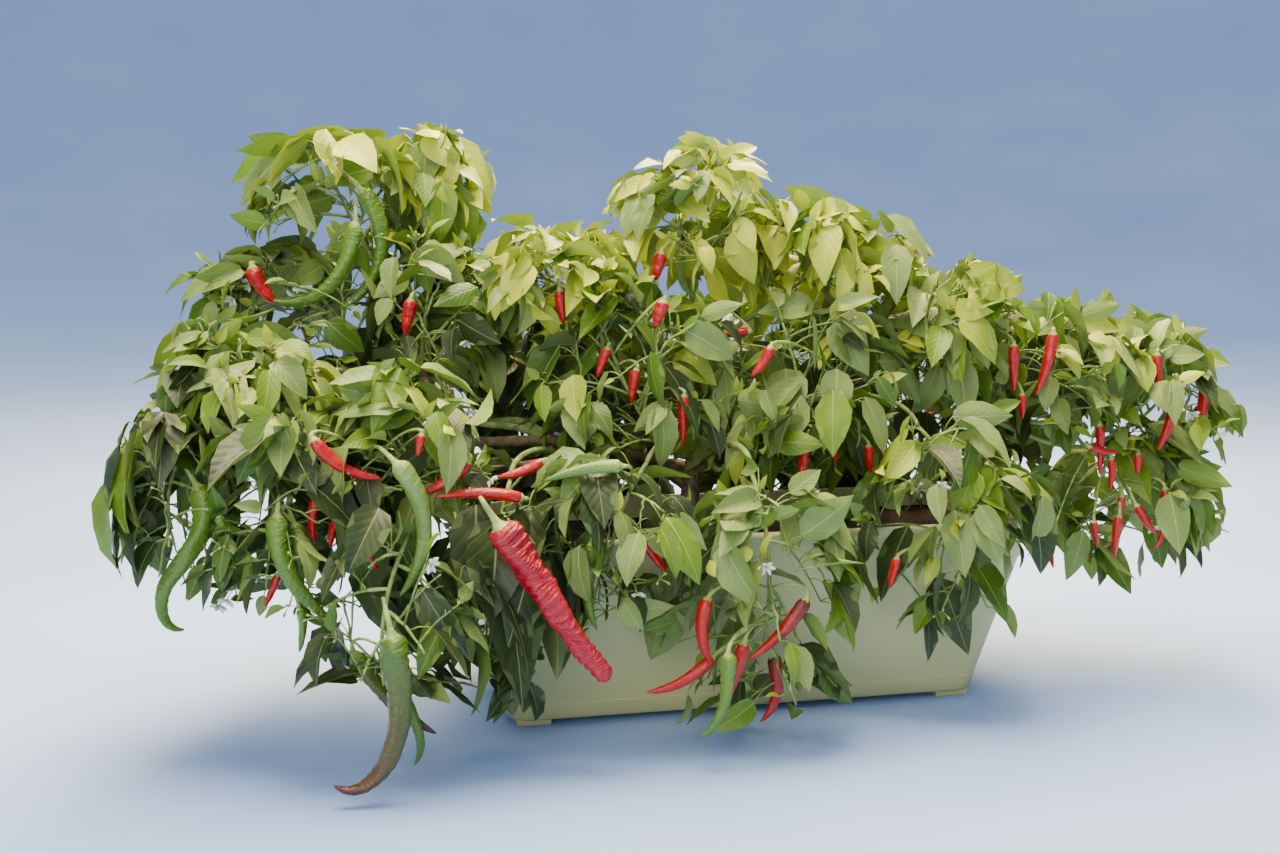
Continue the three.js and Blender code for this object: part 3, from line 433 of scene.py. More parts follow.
@functools.lru_cache(None)
def twigs():
    """Twigs by the rule that the solids follow, and finer twigs that fork from them: arrays of the
    mass, a key, the Bezier controls and the order, 1 for a twig and 2 for a finer one."""
    stems, entries = limbs()[2:]
    mass, key = np.repeat(np.arange(len(NAMES)), TIPS), np.tile(np.arange(TIPS), len(NAMES))
    climb = 1 - (2 * key + 1) / TIPS
    turn = key * GOLDEN + CIRCLE * chance(mass, 0, 1)
    level = np.sqrt(1 - climb**2)
    spread = np.stack([level * np.cos(turn), level * np.sin(turn), climb], -1)
    entry_way = unit((entries[mass] - CENTRE[mass]) / HALF[mass])
    keep = np.sum(spread * entry_way, -1) <= BEHIND
    mass, key, spread = mass[keep], key[keep], spread[keep]
    reach = 0.5 + 0.28 * chance(mass, key, 2)
    tip = drawn_in(mass, CENTRE[mass] + spread * HALF[mass] * reach[:, None])
    first, last = stems[mass][:, 0], stems[mass][:, 2]
    chord = last - first
    share = np.sum((tip - first) * chord, -1) / np.sum(chord**2, -1)
    start = bezier(stems[mass], np.clip(share * 0.75 - 0.05, 0.12, 0.96)[:, None])[:, 0]
    bend = mix(start, tip, 0.5) + UP * 0.16 * np.linalg.norm(tip - start, axis=-1)[:, None]
    controls = np.stack([start, bend, tip], 1)

    # Finer twigs: each aims at a place round its parent's, by the golden angle
    many = np.repeat(np.arange(len(mass)), FORKS)
    number = np.tile(np.arange(FORKS), len(mass))
    home = mass[many]
    code = key[many] * FORK_KEYS + number
    round_it = number * GOLDEN + CIRCLE * chance(home, code, 21)
    away = 0.5 + 0.55 * chance(home, code, 22)
    aim = spread[many] + away[:, None] * square_to(spread[many], round_it)
    reach = 0.48 + 0.36 * chance(home, code, 23)
    fine_tip = CENTRE[home] + unit(aim) * HALF[home] * reach[:, None]
    fork_at = 0.25 + 0.65 * (number + chance(home, code, 24)) / FORKS
    fine_start = bezier(controls[many], fork_at[:, None])[:, 0]
    longest = 85 + 45 * chance(home, code, 25)
    run = fine_tip - fine_start
    far = np.linalg.norm(run, axis=-1)
    fine_tip = drawn_in(home, fine_start + run * np.minimum(1, longest / far)[:, None])
    lift = 0.14 * np.linalg.norm(fine_tip - fine_start, axis=-1)[:, None]
    fine = np.stack([fine_start, mix(fine_start, fine_tip, 0.45) + UP * lift, fine_tip], 1)
    return (
        np.concatenate([mass, home]),
        np.concatenate([key, FINE_KEYS + code]),
        np.concatenate([controls, fine]),
        np.concatenate([np.ones(len(mass), int), np.full(len(many), 2)]),
    )


def twig_number(mass, key):
    """A number for a twig that no other twig of the plant has."""
    return mass * MASS_KEYS + key


def pod_path(row, count):
    """The line down the middle of a pod. Its heading from straight down starts at lean, grows by curl
    times the way along to a power, and swings back by a sine in the middle, in the XZ plane, and the
    steps are added up."""
    at, length, _, lean, curl, power = row[1:7]
    swing = row[8] if len(row) > 8 else 0
    along = (np.arange(count - 1) + 0.5) / (count - 1)
    heading = np.radians(lean + curl * along**power - swing * np.sin(np.pi * along))
    steps = np.stack([np.sin(heading), 0 * heading, -np.cos(heading)], -1) * length / (count - 1)
    return np.concatenate([[at], at + np.cumsum(steps, 0)])


@functools.lru_cache(None)
def pod_lines(count=12):
    """Middle lines of all pods, of count points each, and their radii there."""
    lines = np.array([pod_path(row, count) for row in PODS])
    widths = np.array([row[3] for row in PODS]) / 2
    return lines, widths[:, None] * np.linspace(1, 0.5, count)


# Surfaces

def frames_along(paths):
    """Ways along, across and square to both at each point of paths (N, S, 3). The across way is
    carried from point to point with as little turn as it can."""
    along = unit(np.gradient(paths, axis=1))
    across = np.empty_like(paths)
    last = unit(np.cross(along[:, 0], np.array([0.31, 0.93, 0.2])))
    for s in range(paths.shape[1]):
        last = unit(last - along[:, s] * dot(last, along[:, s]))
        across[:, s] = last
    return along, across, np.cross(along, across)


def ring_quads(rings, sides):
    """Four-cornered faces between neighbouring rings of points."""
    s, k = np.repeat(np.arange(rings - 1), sides), np.tile(np.arange(sides), rings - 1)
    a, b = s * sides + k, s * sides + (k + 1) % sides
    return np.stack([a, b, b + sides, a + sides], -1)


def tubes(paths, radii, sides):
    """Closed tubes along paths (N, S, 3): a point is the path's point plus the radius times the cosine
    of its turn across and the sine of it square to that. radii is (N, S) or (N, S, sides), with N of 1
    where all are alike, and each end is closed to its middle. Gives the points, the faces and the way
    along from 0 to 1."""
    count, stations = paths.shape[:2]
    _, across, other = frames_along(paths)
    turn = turns(sides)
    radii = radii if radii.ndim == 3 else radii[..., None]
    rings = paths[:, :, None] + radii[..., None] * (
        across[:, :, None] * np.cos(turn)[:, None] + other[:, :, None] * np.sin(turn)[:, None])
    size = stations * sides + 2
    points = np.concatenate([rings.reshape(count, -1, 3), paths[:, :1], paths[:, -1:]], 1)
    quads = ring_quads(stations, sides)
    k = np.arange(sides)
    last = (stations - 1) * sides
    starts = np.stack([np.full(sides, size - 2), (k + 1) % sides, k], -1)
    ends = np.stack([np.full(sides, size - 1), last + k, last + (k + 1) % sides], -1)
    offset = np.arange(count)[:, None, None] * size
    way = np.concatenate([np.repeat(np.linspace(0, 1, stations), sides), [0, 1]])
    return (
        points.reshape(-1, 3),
        [(quads + offset).reshape(-1, 4), (np.concatenate([starts, ends]) + offset).reshape(-1, 3)],
        np.tile(way, count),
    )


def tube_index(material, stations, sides):
    """The material's number for each four-cornered face of tubes, and for each face of their ends."""
    return [np.repeat(material, (stations - 1) * sides), np.repeat(material, 2 * sides)]


# Grid of a blade: the rows along it and the columns across it, and the powers that its outline opens
# from the base and closes to the tip by
LEAF_ROWS = np.array([0, 0.1, 0.28, 0.5, 0.72, 0.9, 1])
LEAF_COLUMNS = np.array([-1, -0.5, 0, 0.5, 1])
LEAF_OPENS, LEAF_CLOSES = 0.62, 1.12
# Waves of the margin: their pace along it, the lag of one side, how they grow from the midrib, and
# their height against the blade's length
WAVE_PACE, WAVE_LAG, WAVE_POWER, WAVE_HEIGHT = 13, 2.2, 1.5, 0.024
# Veins of a blade, against its own length and width: half width of the midrib at the base and what it
# loses by the tip, how many side veins, how far and by what power they slant, and half their width
RIB, RIB_LOSS = 0.034, 0.022
VEINS, VEIN_SLANT, VEIN_POWER, VEIN = 7, 0.62, 0.8, 0.09


def leaf_outline(s):
    """Half width at s along a blade for a widest of 1: s to the first power times 1 - s to the second,
    an egg shape with a drawn-out tip."""
    widest = LEAF_OPENS / (LEAF_OPENS + LEAF_CLOSES)
    most = widest**LEAF_OPENS * (1 - widest)**LEAF_CLOSES
    return s**LEAF_OPENS * (1 - s)**LEAF_CLOSES / most


def leaf_blades(base, way, facing, length, width, bend, fold, phase, thick):
    """Closed thin blades. The midrib turns down from way by a growing angle, its steps are added up,
    each side leaves it by the fold angle, and the margin waves by a sine along it. The underside is
    the inner points of the top set back by the thickness. Gives points (N, 42, 3)."""
    s = LEAF_ROWS
    across = np.cross(facing, way)
    angle = bend[:, :1] + (bend[:, 1:] - bend[:, :1]) * s
    between = (angle[:, 1:] + angle[:, :-1]) / 2
    step = (length[:, None] * np.diff(s))[..., None] * (
        np.cos(between)[..., None] * way[:, None] - np.sin(between)[..., None] * facing[:, None])
    spine = base[:, None] + np.concatenate([0 * step[:, :1], np.cumsum(step, 1)], 1)
    normal = np.cos(angle)[..., None] * facing[:, None] + np.sin(angle)[..., None] * way[:, None]
    half = (width / 2)[:, None] * leaf_outline(s)
    t = LEAF_COLUMNS
    side = half[..., None] * t * np.cos(fold)[:, None, None]
    wave = np.sin(phase[:, None, None] + WAVE_PACE * s[:, None] + WAVE_LAG * np.sign(t))
    wave = wave * np.abs(t)**WAVE_POWER
    lift = half[..., None] * np.abs(t) * np.sin(fold)[:, None, None]
    lift = lift + wave * (length * WAVE_HEIGHT)[:, None, None] * (s * (1 - s) * 4)[:, None]
    top = spine[:, :, None] + side[..., None] * across[:, None, None]
    top = top + lift[..., None] * normal[:, :, None]
    under = top[:, 1:-1, 1:-1] - thick * normal[:, 1:-1, None]
    rows, under = (part.reshape(len(base), -1, 3) for part in (top[:, 1:-1], under))
    return np.concatenate([top[:, :1, 2], rows, top[:, -1:, 2], under], 1)


@functools.lru_cache(None)
def leaf_faces():
    """Faces of one blade, as four-cornered and three-cornered ones, and which are on the underside.
    Its corners are the base, the rows of the top, the tip and the inner rows of the underside."""
    rows, columns = len(LEAF_ROWS) - 2, len(LEAF_COLUMNS)
    tip = 1 + rows * columns
    top = 1 + np.arange(rows * columns).reshape(rows, columns)
    low = top.copy()
    low[:, 1:-1] = tip + 1 + np.arange(rows * (columns - 2)).reshape(rows, columns - 2)
    quads, tris = [], []
    for grid, turn in ((top, 1), (low, -1)):
        quad = np.stack([grid[:-1, :-1], grid[1:, :-1], grid[1:, 1:], grid[:-1, 1:]], -1).reshape(-1, 4)
        start = np.stack([0 * grid[0, 1:], grid[0, :-1], grid[0, 1:]], -1)
        end = np.stack([grid[-1, :-1], 0 * grid[-1, 1:] + tip, grid[-1, 1:]], -1)
        quads.append(quad[:, ::turn])
        tris.append(np.concatenate([start, end])[:, ::turn])
    under = [np.repeat([False, True], len(block[0])) for block in (quads, tris)]
    return np.concatenate(quads), np.concatenate(tris), under


def leaf_uv():
    """Each point's place on its blade: across from 0 to 1, and along from 0 to 1."""
    s, t = np.meshgrid(LEAF_ROWS[1:-1], LEAF_COLUMNS, indexing="ij")
    grid = np.stack([0.5 + 0.5 * t * leaf_outline(s), s], -1)
    return np.concatenate([[[0.5, 0]], grid.reshape(-1, 2), [[0.5, 1]], grid[:, 1:-1].reshape(-1, 2)])


def new_piece(name, points, faces, materials, replaced=(), index=None, uv=None, crease=None):
    """Makes a mesh object of points in millimetres from the trough's foot, puts it in the frame in
    metres, and has it ride on the body and stand for nodes."""
    mesh = bpy.data.meshes.new(name)
    rows = [row for block in faces for row in block.tolist()]
    mesh.from_pydata(((points + MIDDLE) / 1000).astype(np.float32), [], rows)
    for material in materials:
        mesh.materials.append(material)
    if index is not None:
        mesh.polygons.foreach_set("material_index", np.concatenate(index).astype(np.int32))
    if uv is not None:
        corner = np.empty(len(mesh.loops), np.int32)
        mesh.loops.foreach_get("vertex_index", corner)
        layer = mesh.uv_layers.new(name="Along")
        layer.data.foreach_set("uv", uv[corner].astype(np.float32).ravel())
    mesh.polygons.foreach_set("use_smooth", np.ones(len(mesh.polygons), bool))
    mesh.update()
    if crease:
        mesh.set_sharp_from_angle(angle=np.radians(crease))
    piece = bpy.data.objects.new(name, mesh)
    bpy.context.scene.collection.objects.link(piece)
    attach(piece, "root")
    if replaced:
        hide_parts(*replaced)
    return piece


# Materials

def colour(hexed):
    """Linear red, green, blue and alpha of an sRGB hex colour: below 0.04045 a division by 12.92,
    above it (c + 0.055) / 1.055 to the 2.4."""
    values = [int(hexed[i:i + 2], 16) / 255 for i in (1, 3, 5)]
    return [v / 12.92 if v <= 0.04045 else ((v + 0.055) / 1.055)**2.4 for v in values] + [1.0]


def blend_hex(a, b, t):
    """The hex colour t of the way from a to b."""
    pair = zip((int(a[i:i + 2], 16) for i in (1, 3, 5)), (int(b[i:i + 2], 16) for i in (1, 3, 5)))
    return "#" + "".join(f"{round(mix(x, y, t)):02X}" for x, y in pair)


def add(tree, kind, links=None, stops=(), **settings):
    """Adds a node with its settings and its ramp's stops, as (place, hex colour). Each input named in
    links is set to a value, or linked from a socket or from a node's first output in use."""
    node = tree.nodes.new("ShaderNode" + kind)
    for name, value in settings.items():
        setattr(node, name, value)
    for _ in stops[2:]:
        node.color_ramp.elements.new(0.5)
    for number, (place, hexed) in enumerate(stops):
        node.color_ramp.elements[number].position = place
        node.color_ramp.elements[number].color = colour(hexed)
    for name, source in (links or {}).items():
        if isinstance(source, bpy.types.Node):
            source = next(output for output in source.outputs if output.enabled)
        if isinstance(source, bpy.types.NodeSocket):
            tree.links.new(source, node.inputs[name])
        else:
            node.inputs[name].default_value = source
    return node


def new_material(name, **settings):
    """A material with only a Principled shader that has the given values, and its node tree."""
    material = bpy.data.materials.new(name)
    material.use_nodes = True
    tree = material.node_tree
    tree.nodes.clear()
    shader = add(tree, "BsdfPrincipled", settings)
    add(tree, "OutputMaterial", {"Surface": shader})
    return material, tree


def dress(tree, tint, height, strength, distance):
    """Links a tint to the base colour of a tree's Principled shader, and a height to its bump."""
    shader = tree.nodes["Principled BSDF"]
    bump = add(tree, "Bump", {"Height": height, "Strength": strength, "Distance": distance})
    for source, name in ((tint, "Base Color"), (bump, "Normal")):
        output = next(output for output in source.outputs if output.enabled)
        tree.links.new(output, shader.inputs[name])
    return shader


def object_noise(tree, per_metre, detail=2.0):
    """Noise in the object's own metres, with that many patches to a metre."""
    place = add(tree, "TexCoord").outputs["Object"]
    return add(tree, "TexNoise", {"Vector": place, "Scale": per_metre, "Detail": detail}).outputs["Fac"]


def leaf_veins(tree):
    """Masks of a leaf's veins from its own UV map: the midrib, where the distance across from the
    middle is under a width that narrows to the tip, and side veins, where the way along less a share
    of that distance, times the number of rows, is near a whole number."""
    uv = add(tree, "UVMap", uv_map="Along")
    parts = add(tree, "SeparateXYZ", {0: uv})
    off = add(tree, "Math", {0: parts.outputs[0], 1: 0.5}, operation="SUBTRACT")
    off = add(tree, "Math", {0: off}, operation="ABSOLUTE")
    width = add(tree, "Math", {0: parts.outputs[1], 1: -RIB_LOSS, 2: RIB}, operation="MULTIPLY_ADD")
    fade = {"From Min": 0.0, "To Min": 1.0, "To Max": 0.0}
    rib = add(tree, "MapRange", {"Value": off, "From Max": width, **fade},
              interpolation_type="SMOOTHSTEP")
    bow = add(tree, "Math", {0: off, 1: VEIN_POWER}, operation="POWER")
    curve = add(tree, "Math", {0: bow, 1: -VEIN_SLANT, 2: parts.outputs[1]}, operation="MULTIPLY_ADD")
    count = add(tree, "Math", {0: curve, 1: float(VEINS)}, operation="MULTIPLY")
    saw = add(tree, "Math", {0: count, 1: 0.5}, operation="PINGPONG")
    side = add(tree, "MapRange", {"Value": saw, "From Max": VEIN, **fade},
               interpolation_type="SMOOTHSTEP")
    return rib, side, saw


def leaf_finish(name, hexed, under=False):
    """Living leaf: a waxy satin skin over soft green tissue, so it takes a broad pale sheen from the
    sky, glows a little where light comes from behind, and puckers between its side veins."""
    face = blend_hex(hexed, "#A6BC6C", 0.4) if under else hexed
    vein = blend_hex(hexed, "#DCE6A0", 0.56)
    material, tree = new_material(
        name, Roughness=0.6 if under else 0.38, **{"Specular IOR Level": 0.26 if under else 0.36})
    rib, side, saw = leaf_veins(tree)
    stops = [(0.3, blend_hex(face, "#1E3818", 0.16)), (0.7, blend_hex(face, "#C8D47C", 0.16))]
    tone = add(tree, "ValToRGB", {"Fac": object_noise(tree, 24.0)}, stops)
    share = add(tree, "Math", {0: side, 1: 0.2}, operation="MULTIPLY")
    veined = add(tree, "Mix", {0: share, 6: tone, 7: colour(vein)}, data_type="RGBA")
    ribbed = add(tree, "Mix", {0: rib, 6: veined, 7: colour(vein)}, data_type="RGBA")
    pucker = add(tree, "Math", {0: saw, 1: 1.2}, operation="MULTIPLY")
    height = add(tree, "Math", {0: rib, 1: 0.9 if under else -0.9, 2: pucker}, operation="MULTIPLY_ADD")
    shader = dress(tree, ribbed, height, 0.4, 0.0011)
    glow = add(tree, "BsdfTranslucent", {"Color": colour(blend_hex(hexed, "#C6DC46", 0.6))})
    both = add(tree, "MixShader", {0: 0.32, 1: shader, 2: glow})
    tree.links.new(both.outputs[0], tree.nodes["Material Output"].inputs[0])
    return material


def stem_finish(name, low, high, ridges):
    """Green or barky stem: fine ridges along it and mottling a few millimetres across."""
    material, tree = new_material(name, Roughness=0.6)
    tint = add(tree, "ValToRGB", {"Fac": object_noise(tree, 90.0, 4.0)}, [(0.34, low), (0.66, high)])
    dress(tree, tint, object_noise(tree, 700.0, 3.0), ridges, 0.0015)
    return material


def pod_finish(name, stops, wrinkle):
    """Pod skin: a tight, waxed skin, so a clear sharp shine over a deep colour, crumpled finely where
    it has begun to dry. The colours run from the stalk end to the tip."""
    material, tree = new_material(
        name, Roughness=0.28, **{"Specular IOR Level": 0.4, "Coat Weight": 0.2, "Coat Roughness": 0.08})
    along = add(tree, "SeparateXYZ", {0: add(tree, "UVMap", uv_map="Along")}).outputs[1]
    drift = add(tree, "Math", {0: object_noise(tree, 60.0, 3.0), 1: 0.5}, operation="SUBTRACT")
    way = add(tree, "Math", {0: drift, 1: 0.3, 2: along}, operation="MULTIPLY_ADD")
    tint = add(tree, "ValToRGB", {"Fac": way}, stops)
    dress(tree, tint, object_noise(tree, 260.0, 3.0), wrinkle, 0.004)
    return material


# Pieces

# Radius of the trough's corners in plan at the rim, and the least that an inner ring has
CORNER, LEAST_CORNER = 34, 4
# Step under the band, height of the lip and of the feet, half a foot's sides, and how far in from the
# base's sides the middle of each foot lies
STEP, LIP, FOOT = 3, 11, 9
FOOT_HALF, FOOT_IN = np.array([23, 30]), np.array([31, 36])
# Gap between the soil and the wall, height of its underside, how far its top lies under the solid's,
# and the height of its lumps
SOIL_GAP, SOIL_FOOT, SOIL_SINK, LUMP = 3.4, 14.3, 2.2, 1.1


def trough_ring(sizes, inset, z, steps=9):
    """A rounded rectangle at height z, drawn in by inset from the rim's outline. Under the band it
    tapers in a straight line to the foot."""
    band_foot = sizes["height"] - sizes["band"]
    fall = np.clip((band_foot - z) / band_foot, 0, 1)
    full = np.array([mix(sizes[name], sizes[f"base_{name}"], fall) for name in ("length", "depth")])
    half = full / 2 - inset
    radius = max(CORNER - inset, LEAST_CORNER)
    quarter = np.repeat(np.arange(4), steps + 1)
    turn = np.pi / 2 * (quarter + np.tile(np.arange(steps + 1), 4) / steps)
    sign = np.stack([np.where((quarter == 0) | (quarter == 3), 1, -1), np.where(quarter < 2, 1, -1)], -1)
    flat = sign * (half - radius) + radius * np.stack([np.cos(turn), np.sin(turn)], -1)
    return np.column_stack([flat, np.full(len(flat), float(z))])


def loft(rings):
    """A closed skin over rings of as many points, with flat ends."""
    rings = np.array(rings)
    levels, sides = rings.shape[:2]
    lid = np.arange(sides)[None]
    return rings.reshape(-1, 3), [ring_quads(levels, sides), lid[:, ::-1], lid + (levels - 1) * sides]


def in_mm(settings, names):
    """Named lengths of a PropertyGroup, in millimetres."""
    return {name: getattr(settings, name) * 1000 for name in names}


TROUGH_SIZES = ("length", "depth", "height", "base_length", "base_depth", "wall", "band")


class PLANT_OT_trough(bpy.types.Operator):
    """Build the moulded trough with its band, lip and feet"""
    bl_idname = "plant.trough"
    bl_label = "Trough"

    def execute(self, context):
        settings = context.scene.plant_trough
        sizes = in_mm(settings, TROUGH_SIZES)
        height, wall = sizes["height"], sizes["wall"]
        lip_foot, band_foot = height - LIP, height - sizes["band"]
        # Inset and height of each ring, up the outside, over the lip and down the inside
        section = [
            (STEP + 4, FOOT), (STEP + 1.2, FOOT + 1.2), (STEP, FOOT + 4), (STEP, FOOT + 23),
            (STEP + 1.2, FOOT + 24.5), (STEP + 0.9, FOOT + 60), (STEP + 0.8, band_foot - 3),
            (STEP + 0.5, band_foot - 1.4), (1.6, band_foot - 0.4), (0.8, band_foot + 1),
            (0.8, lip_foot - 1), (0.2, lip_foot), (-1.8, lip_foot + 1.2), (-3, lip_foot + 3),
            (-3.5, height - LIP / 2), (-3, height - 2.2), (-1.6, height - 0.5), (0, height),
            (wall - 2, height), (wall - 0.4, height - 0.8), (wall + 0.6, height - 3),
            (wall + STEP - 1, lip_foot), (wall + STEP, band_foot), (wall + STEP, FOOT + wall),
        ]
        points, faces = loft([trough_ring(sizes, inset, z) for inset, z in section])
        corners = np.array([[1, 1], [-1, 1], [-1, -1], [1, -1]])
        half_base = np.array([sizes["base_length"], sizes["base_depth"]]) / 2
        for way in ((-1, -1), (-1, 1), (1, -1), (1, 1)):
            middle = np.array(way) * (half_base - STEP - FOOT_IN)
            rings = [np.column_stack([middle + corners * (FOOT_HALF - inset), np.full(4, float(z))])
                     for inset, z in ((1.5, 0), (0, 1.5), (0, FOOT + 1))]
            block_points, block_faces = loft(rings)
            faces = faces + [block + len(points) for block in block_faces]
            points = np.concatenate([points, block_points])
        # Moulded polypropylene in sage green: satin, darker and browner towards the foot and paler
        # towards the rim
        material, tree = new_material(
            "Sage moulded polypropylene", Roughness=0.44, **{"Specular IOR Level": 0.45})
        place = add(tree, "TexCoord").outputs["Object"]
        rise = add(tree, "SeparateXYZ", {0: place}).outputs[2]
        drift = add(tree, "Math", {0: object_noise(tree, 9.0, 4.0), 1: 0.5}, operation="SUBTRACT")
        patch = add(tree, "Math", {0: drift, 1: 0.06, 2: rise}, operation="MULTIPLY_ADD")
        level = add(tree, "MapRange", {"Value": patch, "From Min": 0.0, "From Max": 0.26})
        body = settings.colour
        stops = [(0.0, blend_hex(body, "#7C7247", 0.4)), (0.12, blend_hex(body, "#8C8650", 0.25)),
                 (0.7, body), (1.0, blend_hex(body, "#C3CAA4", 0.35))]
        tint = add(tree, "ValToRGB", {"Fac": level}, stops)
        dress(tree, tint, object_noise(tree, 1400.0, 2.0), 0.16, 0.0006)
        new_piece("trough", points, faces, [material], ["pot"], crease=40)
        return {"FINISHED"}


class PLANT_OT_soil(bpy.types.Operator):
    """Fill the trough with crumbly potting soil"""
    bl_idname = "plant.soil"
    bl_label = "Soil"

    def execute(self, context):
        sizes = in_mm(context.scene.plant_trough, TROUGH_SIZES)
        inset = sizes["wall"] + SOIL_GAP
        rings = [trough_ring(sizes, inset, z) for z in (SOIL_FOOT, 120, SOIL_TOP - 6)]
        edge = trough_ring(sizes, inset, SOIL_TOP - 1)
        for share in np.linspace(1, 0.02, 26):
            ring = edge * [share, share, 1]
            lumps = np.sin(ring[:, 0] * 0.21 + 3 * np.sin(ring[:, 1] * 0.13))
            lumps = lumps + np.sin(ring[:, 1] * 0.27 + 2 * np.sin(ring[:, 0] * 0.11))
            ring[:, 2] = SOIL_TOP - SOIL_SINK + LUMP * lumps
            rings.append(ring)
        points, faces = loft(rings)
        # Moist peat mix: nearly black brown crumbs a few millimetres across, with no shine
        material, tree = new_material("Moist potting peat", Roughness=0.95)
        place = add(tree, "TexCoord").outputs["Object"]
        crumbs = add(tree, "TexVoronoi", {"Vector": place, "Scale": 260.0}).outputs["Distance"]
        stops = [(0.0, "#120C08"), (0.5, "#2B1D13"), (1.0, "#4A3524")]
        dress(tree, add(tree, "ValToRGB", {"Fac": crumbs}, stops), crumbs, 1.0, 0.004)
        new_piece("potting_soil", points, faces, [material], ["soil"])
        return {"FINISHED"}


# Radius over which a bough is barky, greatest radius of a stem in its mass, and radius of its tip
BARKY, STEM, STEM_TIP = 7, 4.2, 2.2


class PLANT_OT_limbs(bpy.types.Operator):
    """Grow the trunk, the boughs and the stem of each mass, with bark relief"""
    bl_idname = "plant.limbs"
    bl_label = "Trunk and boughs"

    def execute(self, context):
        bark = stem_finish("Ridged pepper bark", "#4A3B2A", "#8A7A5A", 0.9)
        green = stem_finish("Green pepper stem", "#5E7433", "#8FA057", 0.35)
        # The trunk: a straight taper, a flare of lobes that dies away from the foot, and two sets of
        # ridges that wind up it
        sides, t = 20, np.linspace(0, 1, 30)
        turn, up = turns(sides), t[:, None]
        flare = TRUNK["flare"] * np.exp(-up * 9)
        lobe = 1 + 0.6 * np.cos(TRUNK["lobes"] * turn)
        radius = mix(TRUNK["base"], TRUNK["tip"], up) + flare * lobe
        ridge = 1 + 0.05 * np.sin(7 * turn + 5 * np.sin(up * 6)) + 0.03 * np.sin(11 * turn - 30 * up)
        points, faces, _ = tubes(trunk_point(up)[None], (radius * ridge)[None], sides)
        new_piece("trunk_bark", points, faces, [bark], ["trunk"])

        # The boughs: a taper with five winding ridges, and seven swollen joints along it
        boughs, ends, stems, _ = limbs()
        sides, t = 14, np.linspace(0, 1, 36)
        radius = mix(ends[:, :1], ends[:, 1:], t)[..., None]
        twist = CIRCLE * chance(np.arange(len(NAMES)), 1, 31)[:, None, None]
        ridge = 1 + 0.07 * np.sin(5 * turns(sides) + twist + 4 * t[:, None])
        joint = 1 + 0.1 * np.exp(-((np.mod(t * 7, 1) - 0.5) * 9)**2)[:, None]
        points, faces, _ = tubes(bezier(boughs, t), radius * ridge * joint, sides)
        new_piece("boughs_bark", points, faces, [bark, green],
                  [f"bough_{name}" for name in NAMES],
                  index=tube_index(ends[:, 0] < BARKY, len(t), sides))

        # The stems in the masses: a taper with five straight ridges
        sides, t = 10, np.linspace(0, 1, 16)
        radius = mix(np.minimum(ends[:, 1:], STEM), STEM_TIP, t)[..., None]
        ridge = 1 + 0.08 * np.sin(5 * turns(sides))
        points, faces, _ = tubes(bezier(stems, t), radius * ridge, sides)
        new_piece("stems", points, faces, [green])
        return {"FINISHED"}


# Radius of a twig and of a finer one where they fork, and how far they are kinked to and fro
TWIG, FINE_TWIG, KINK = 2.4, 1.6, 5


class PLANT_OT_twigs(bpy.types.Operator):
    """Grow the twigs and the finer twigs that carry the leaves"""
    bl_idname = "plant.twigs"
    bl_label = "Twigs"

    def execute(self, context):
        mass, key, controls, order = twigs()
        settings = context.scene.plant_leaves
        # Only twigs that bear leaves, and the parents of such finer ones, are grown
        leaf_mass, leaf_key = leaves(settings.size, settings.width)[:2]
        bearer = leaf_key // LEAF_KEYS
        finer = bearer >= FINE_KEYS
        parents = twig_number(leaf_mass[finer], (bearer[finer] - FINE_KEYS) // FORK_KEYS)
        bearers = np.concatenate([twig_number(leaf_mass, bearer), parents])
        carries = np.isin(twig_number(mass, key), bearers)
        mass, key, controls, order = mass[carries], key[carries], controls[carries], order[carries]
        bright = stem_finish("Pale green twig", "#728E40", "#A6B968", 0.3)
        fine = stem_finish("Fine green twig", "#566F30", "#84994E", 0.3)
        # Each is kinked to and fro by chance, tapers, and swells at every third point
        sides, t = 5, np.linspace(0, 1, 9)
        kink = chance(mass[:, None], key[:, None] * FORK_KEYS + np.arange(len(t)), 33) - 0.5
        bow = np.sin(np.pi * t) * kink * KINK
        aside = unit(np.cross(controls[:, 2] - controls[:, 0], NEAR_UP))
        paths = bezier(controls, t) + bow[..., None] * aside[:, None]
        thick = np.where(order == 1, TWIG, FINE_TWIG)[:, None]
        radius = thick * mix(1, 0.55, t) * (1 + 0.25 * (np.arange(len(t)) % 3 == 2))
        points, faces, _ = tubes(paths, radius, sides)
        new_piece("twigs", points, faces, [bright, fine],
                  index=tube_index(order - 1, len(t), sides))
        return {"FINISHED"}


# Leaves on a twig and on a finer one: how far along it, the hand that it turns to, and its share of
# the full length. The last ones are the young leaves of the shoot's tip
LEAF_PLANS = {
    1: [(0.35, 1, 1.1), (0.6, -1, 1.1), (0.82, 1, 1), (1.0, -1, 0.85), (1.0, 0.2, 0.5)],
    2: [(0.4, 1, 1.1), (0.7, -1, 1), (0.95, 1, 0.9), (1.0, -0.9, 0.7), (1.0, 0.3, 0.42),
        (1.0, -0.2, 0.32)],
}


@functools.lru_cache(None)
def leaf_places():
    """Where each leaf's stalk leaves its twig: arrays of the mass, a key, the place, the twig's way
    there, the hand that the leaf turns to and how grown it is."""
    mass, key, controls, order = twigs()
    flip = np.where(chance(mass, key, 41) > 0.5, 1.0, -1.0)
    rows = []
    for kind, plan in LEAF_PLANS.items():
        pick = order == kind
        for number, (at, hand, grown) in enumerate(plan):
            behind, base = np.moveaxis(bezier(controls[pick], np.array([at - 0.06, at])), 1, 0)
            rows.append((mass[pick], key[pick] * LEAF_KEYS + number, base, unit(base - behind),
                         hand * flip[pick], np.full(len(base), grown)))
    return tuple(np.concatenate(column) for column in zip(*rows))


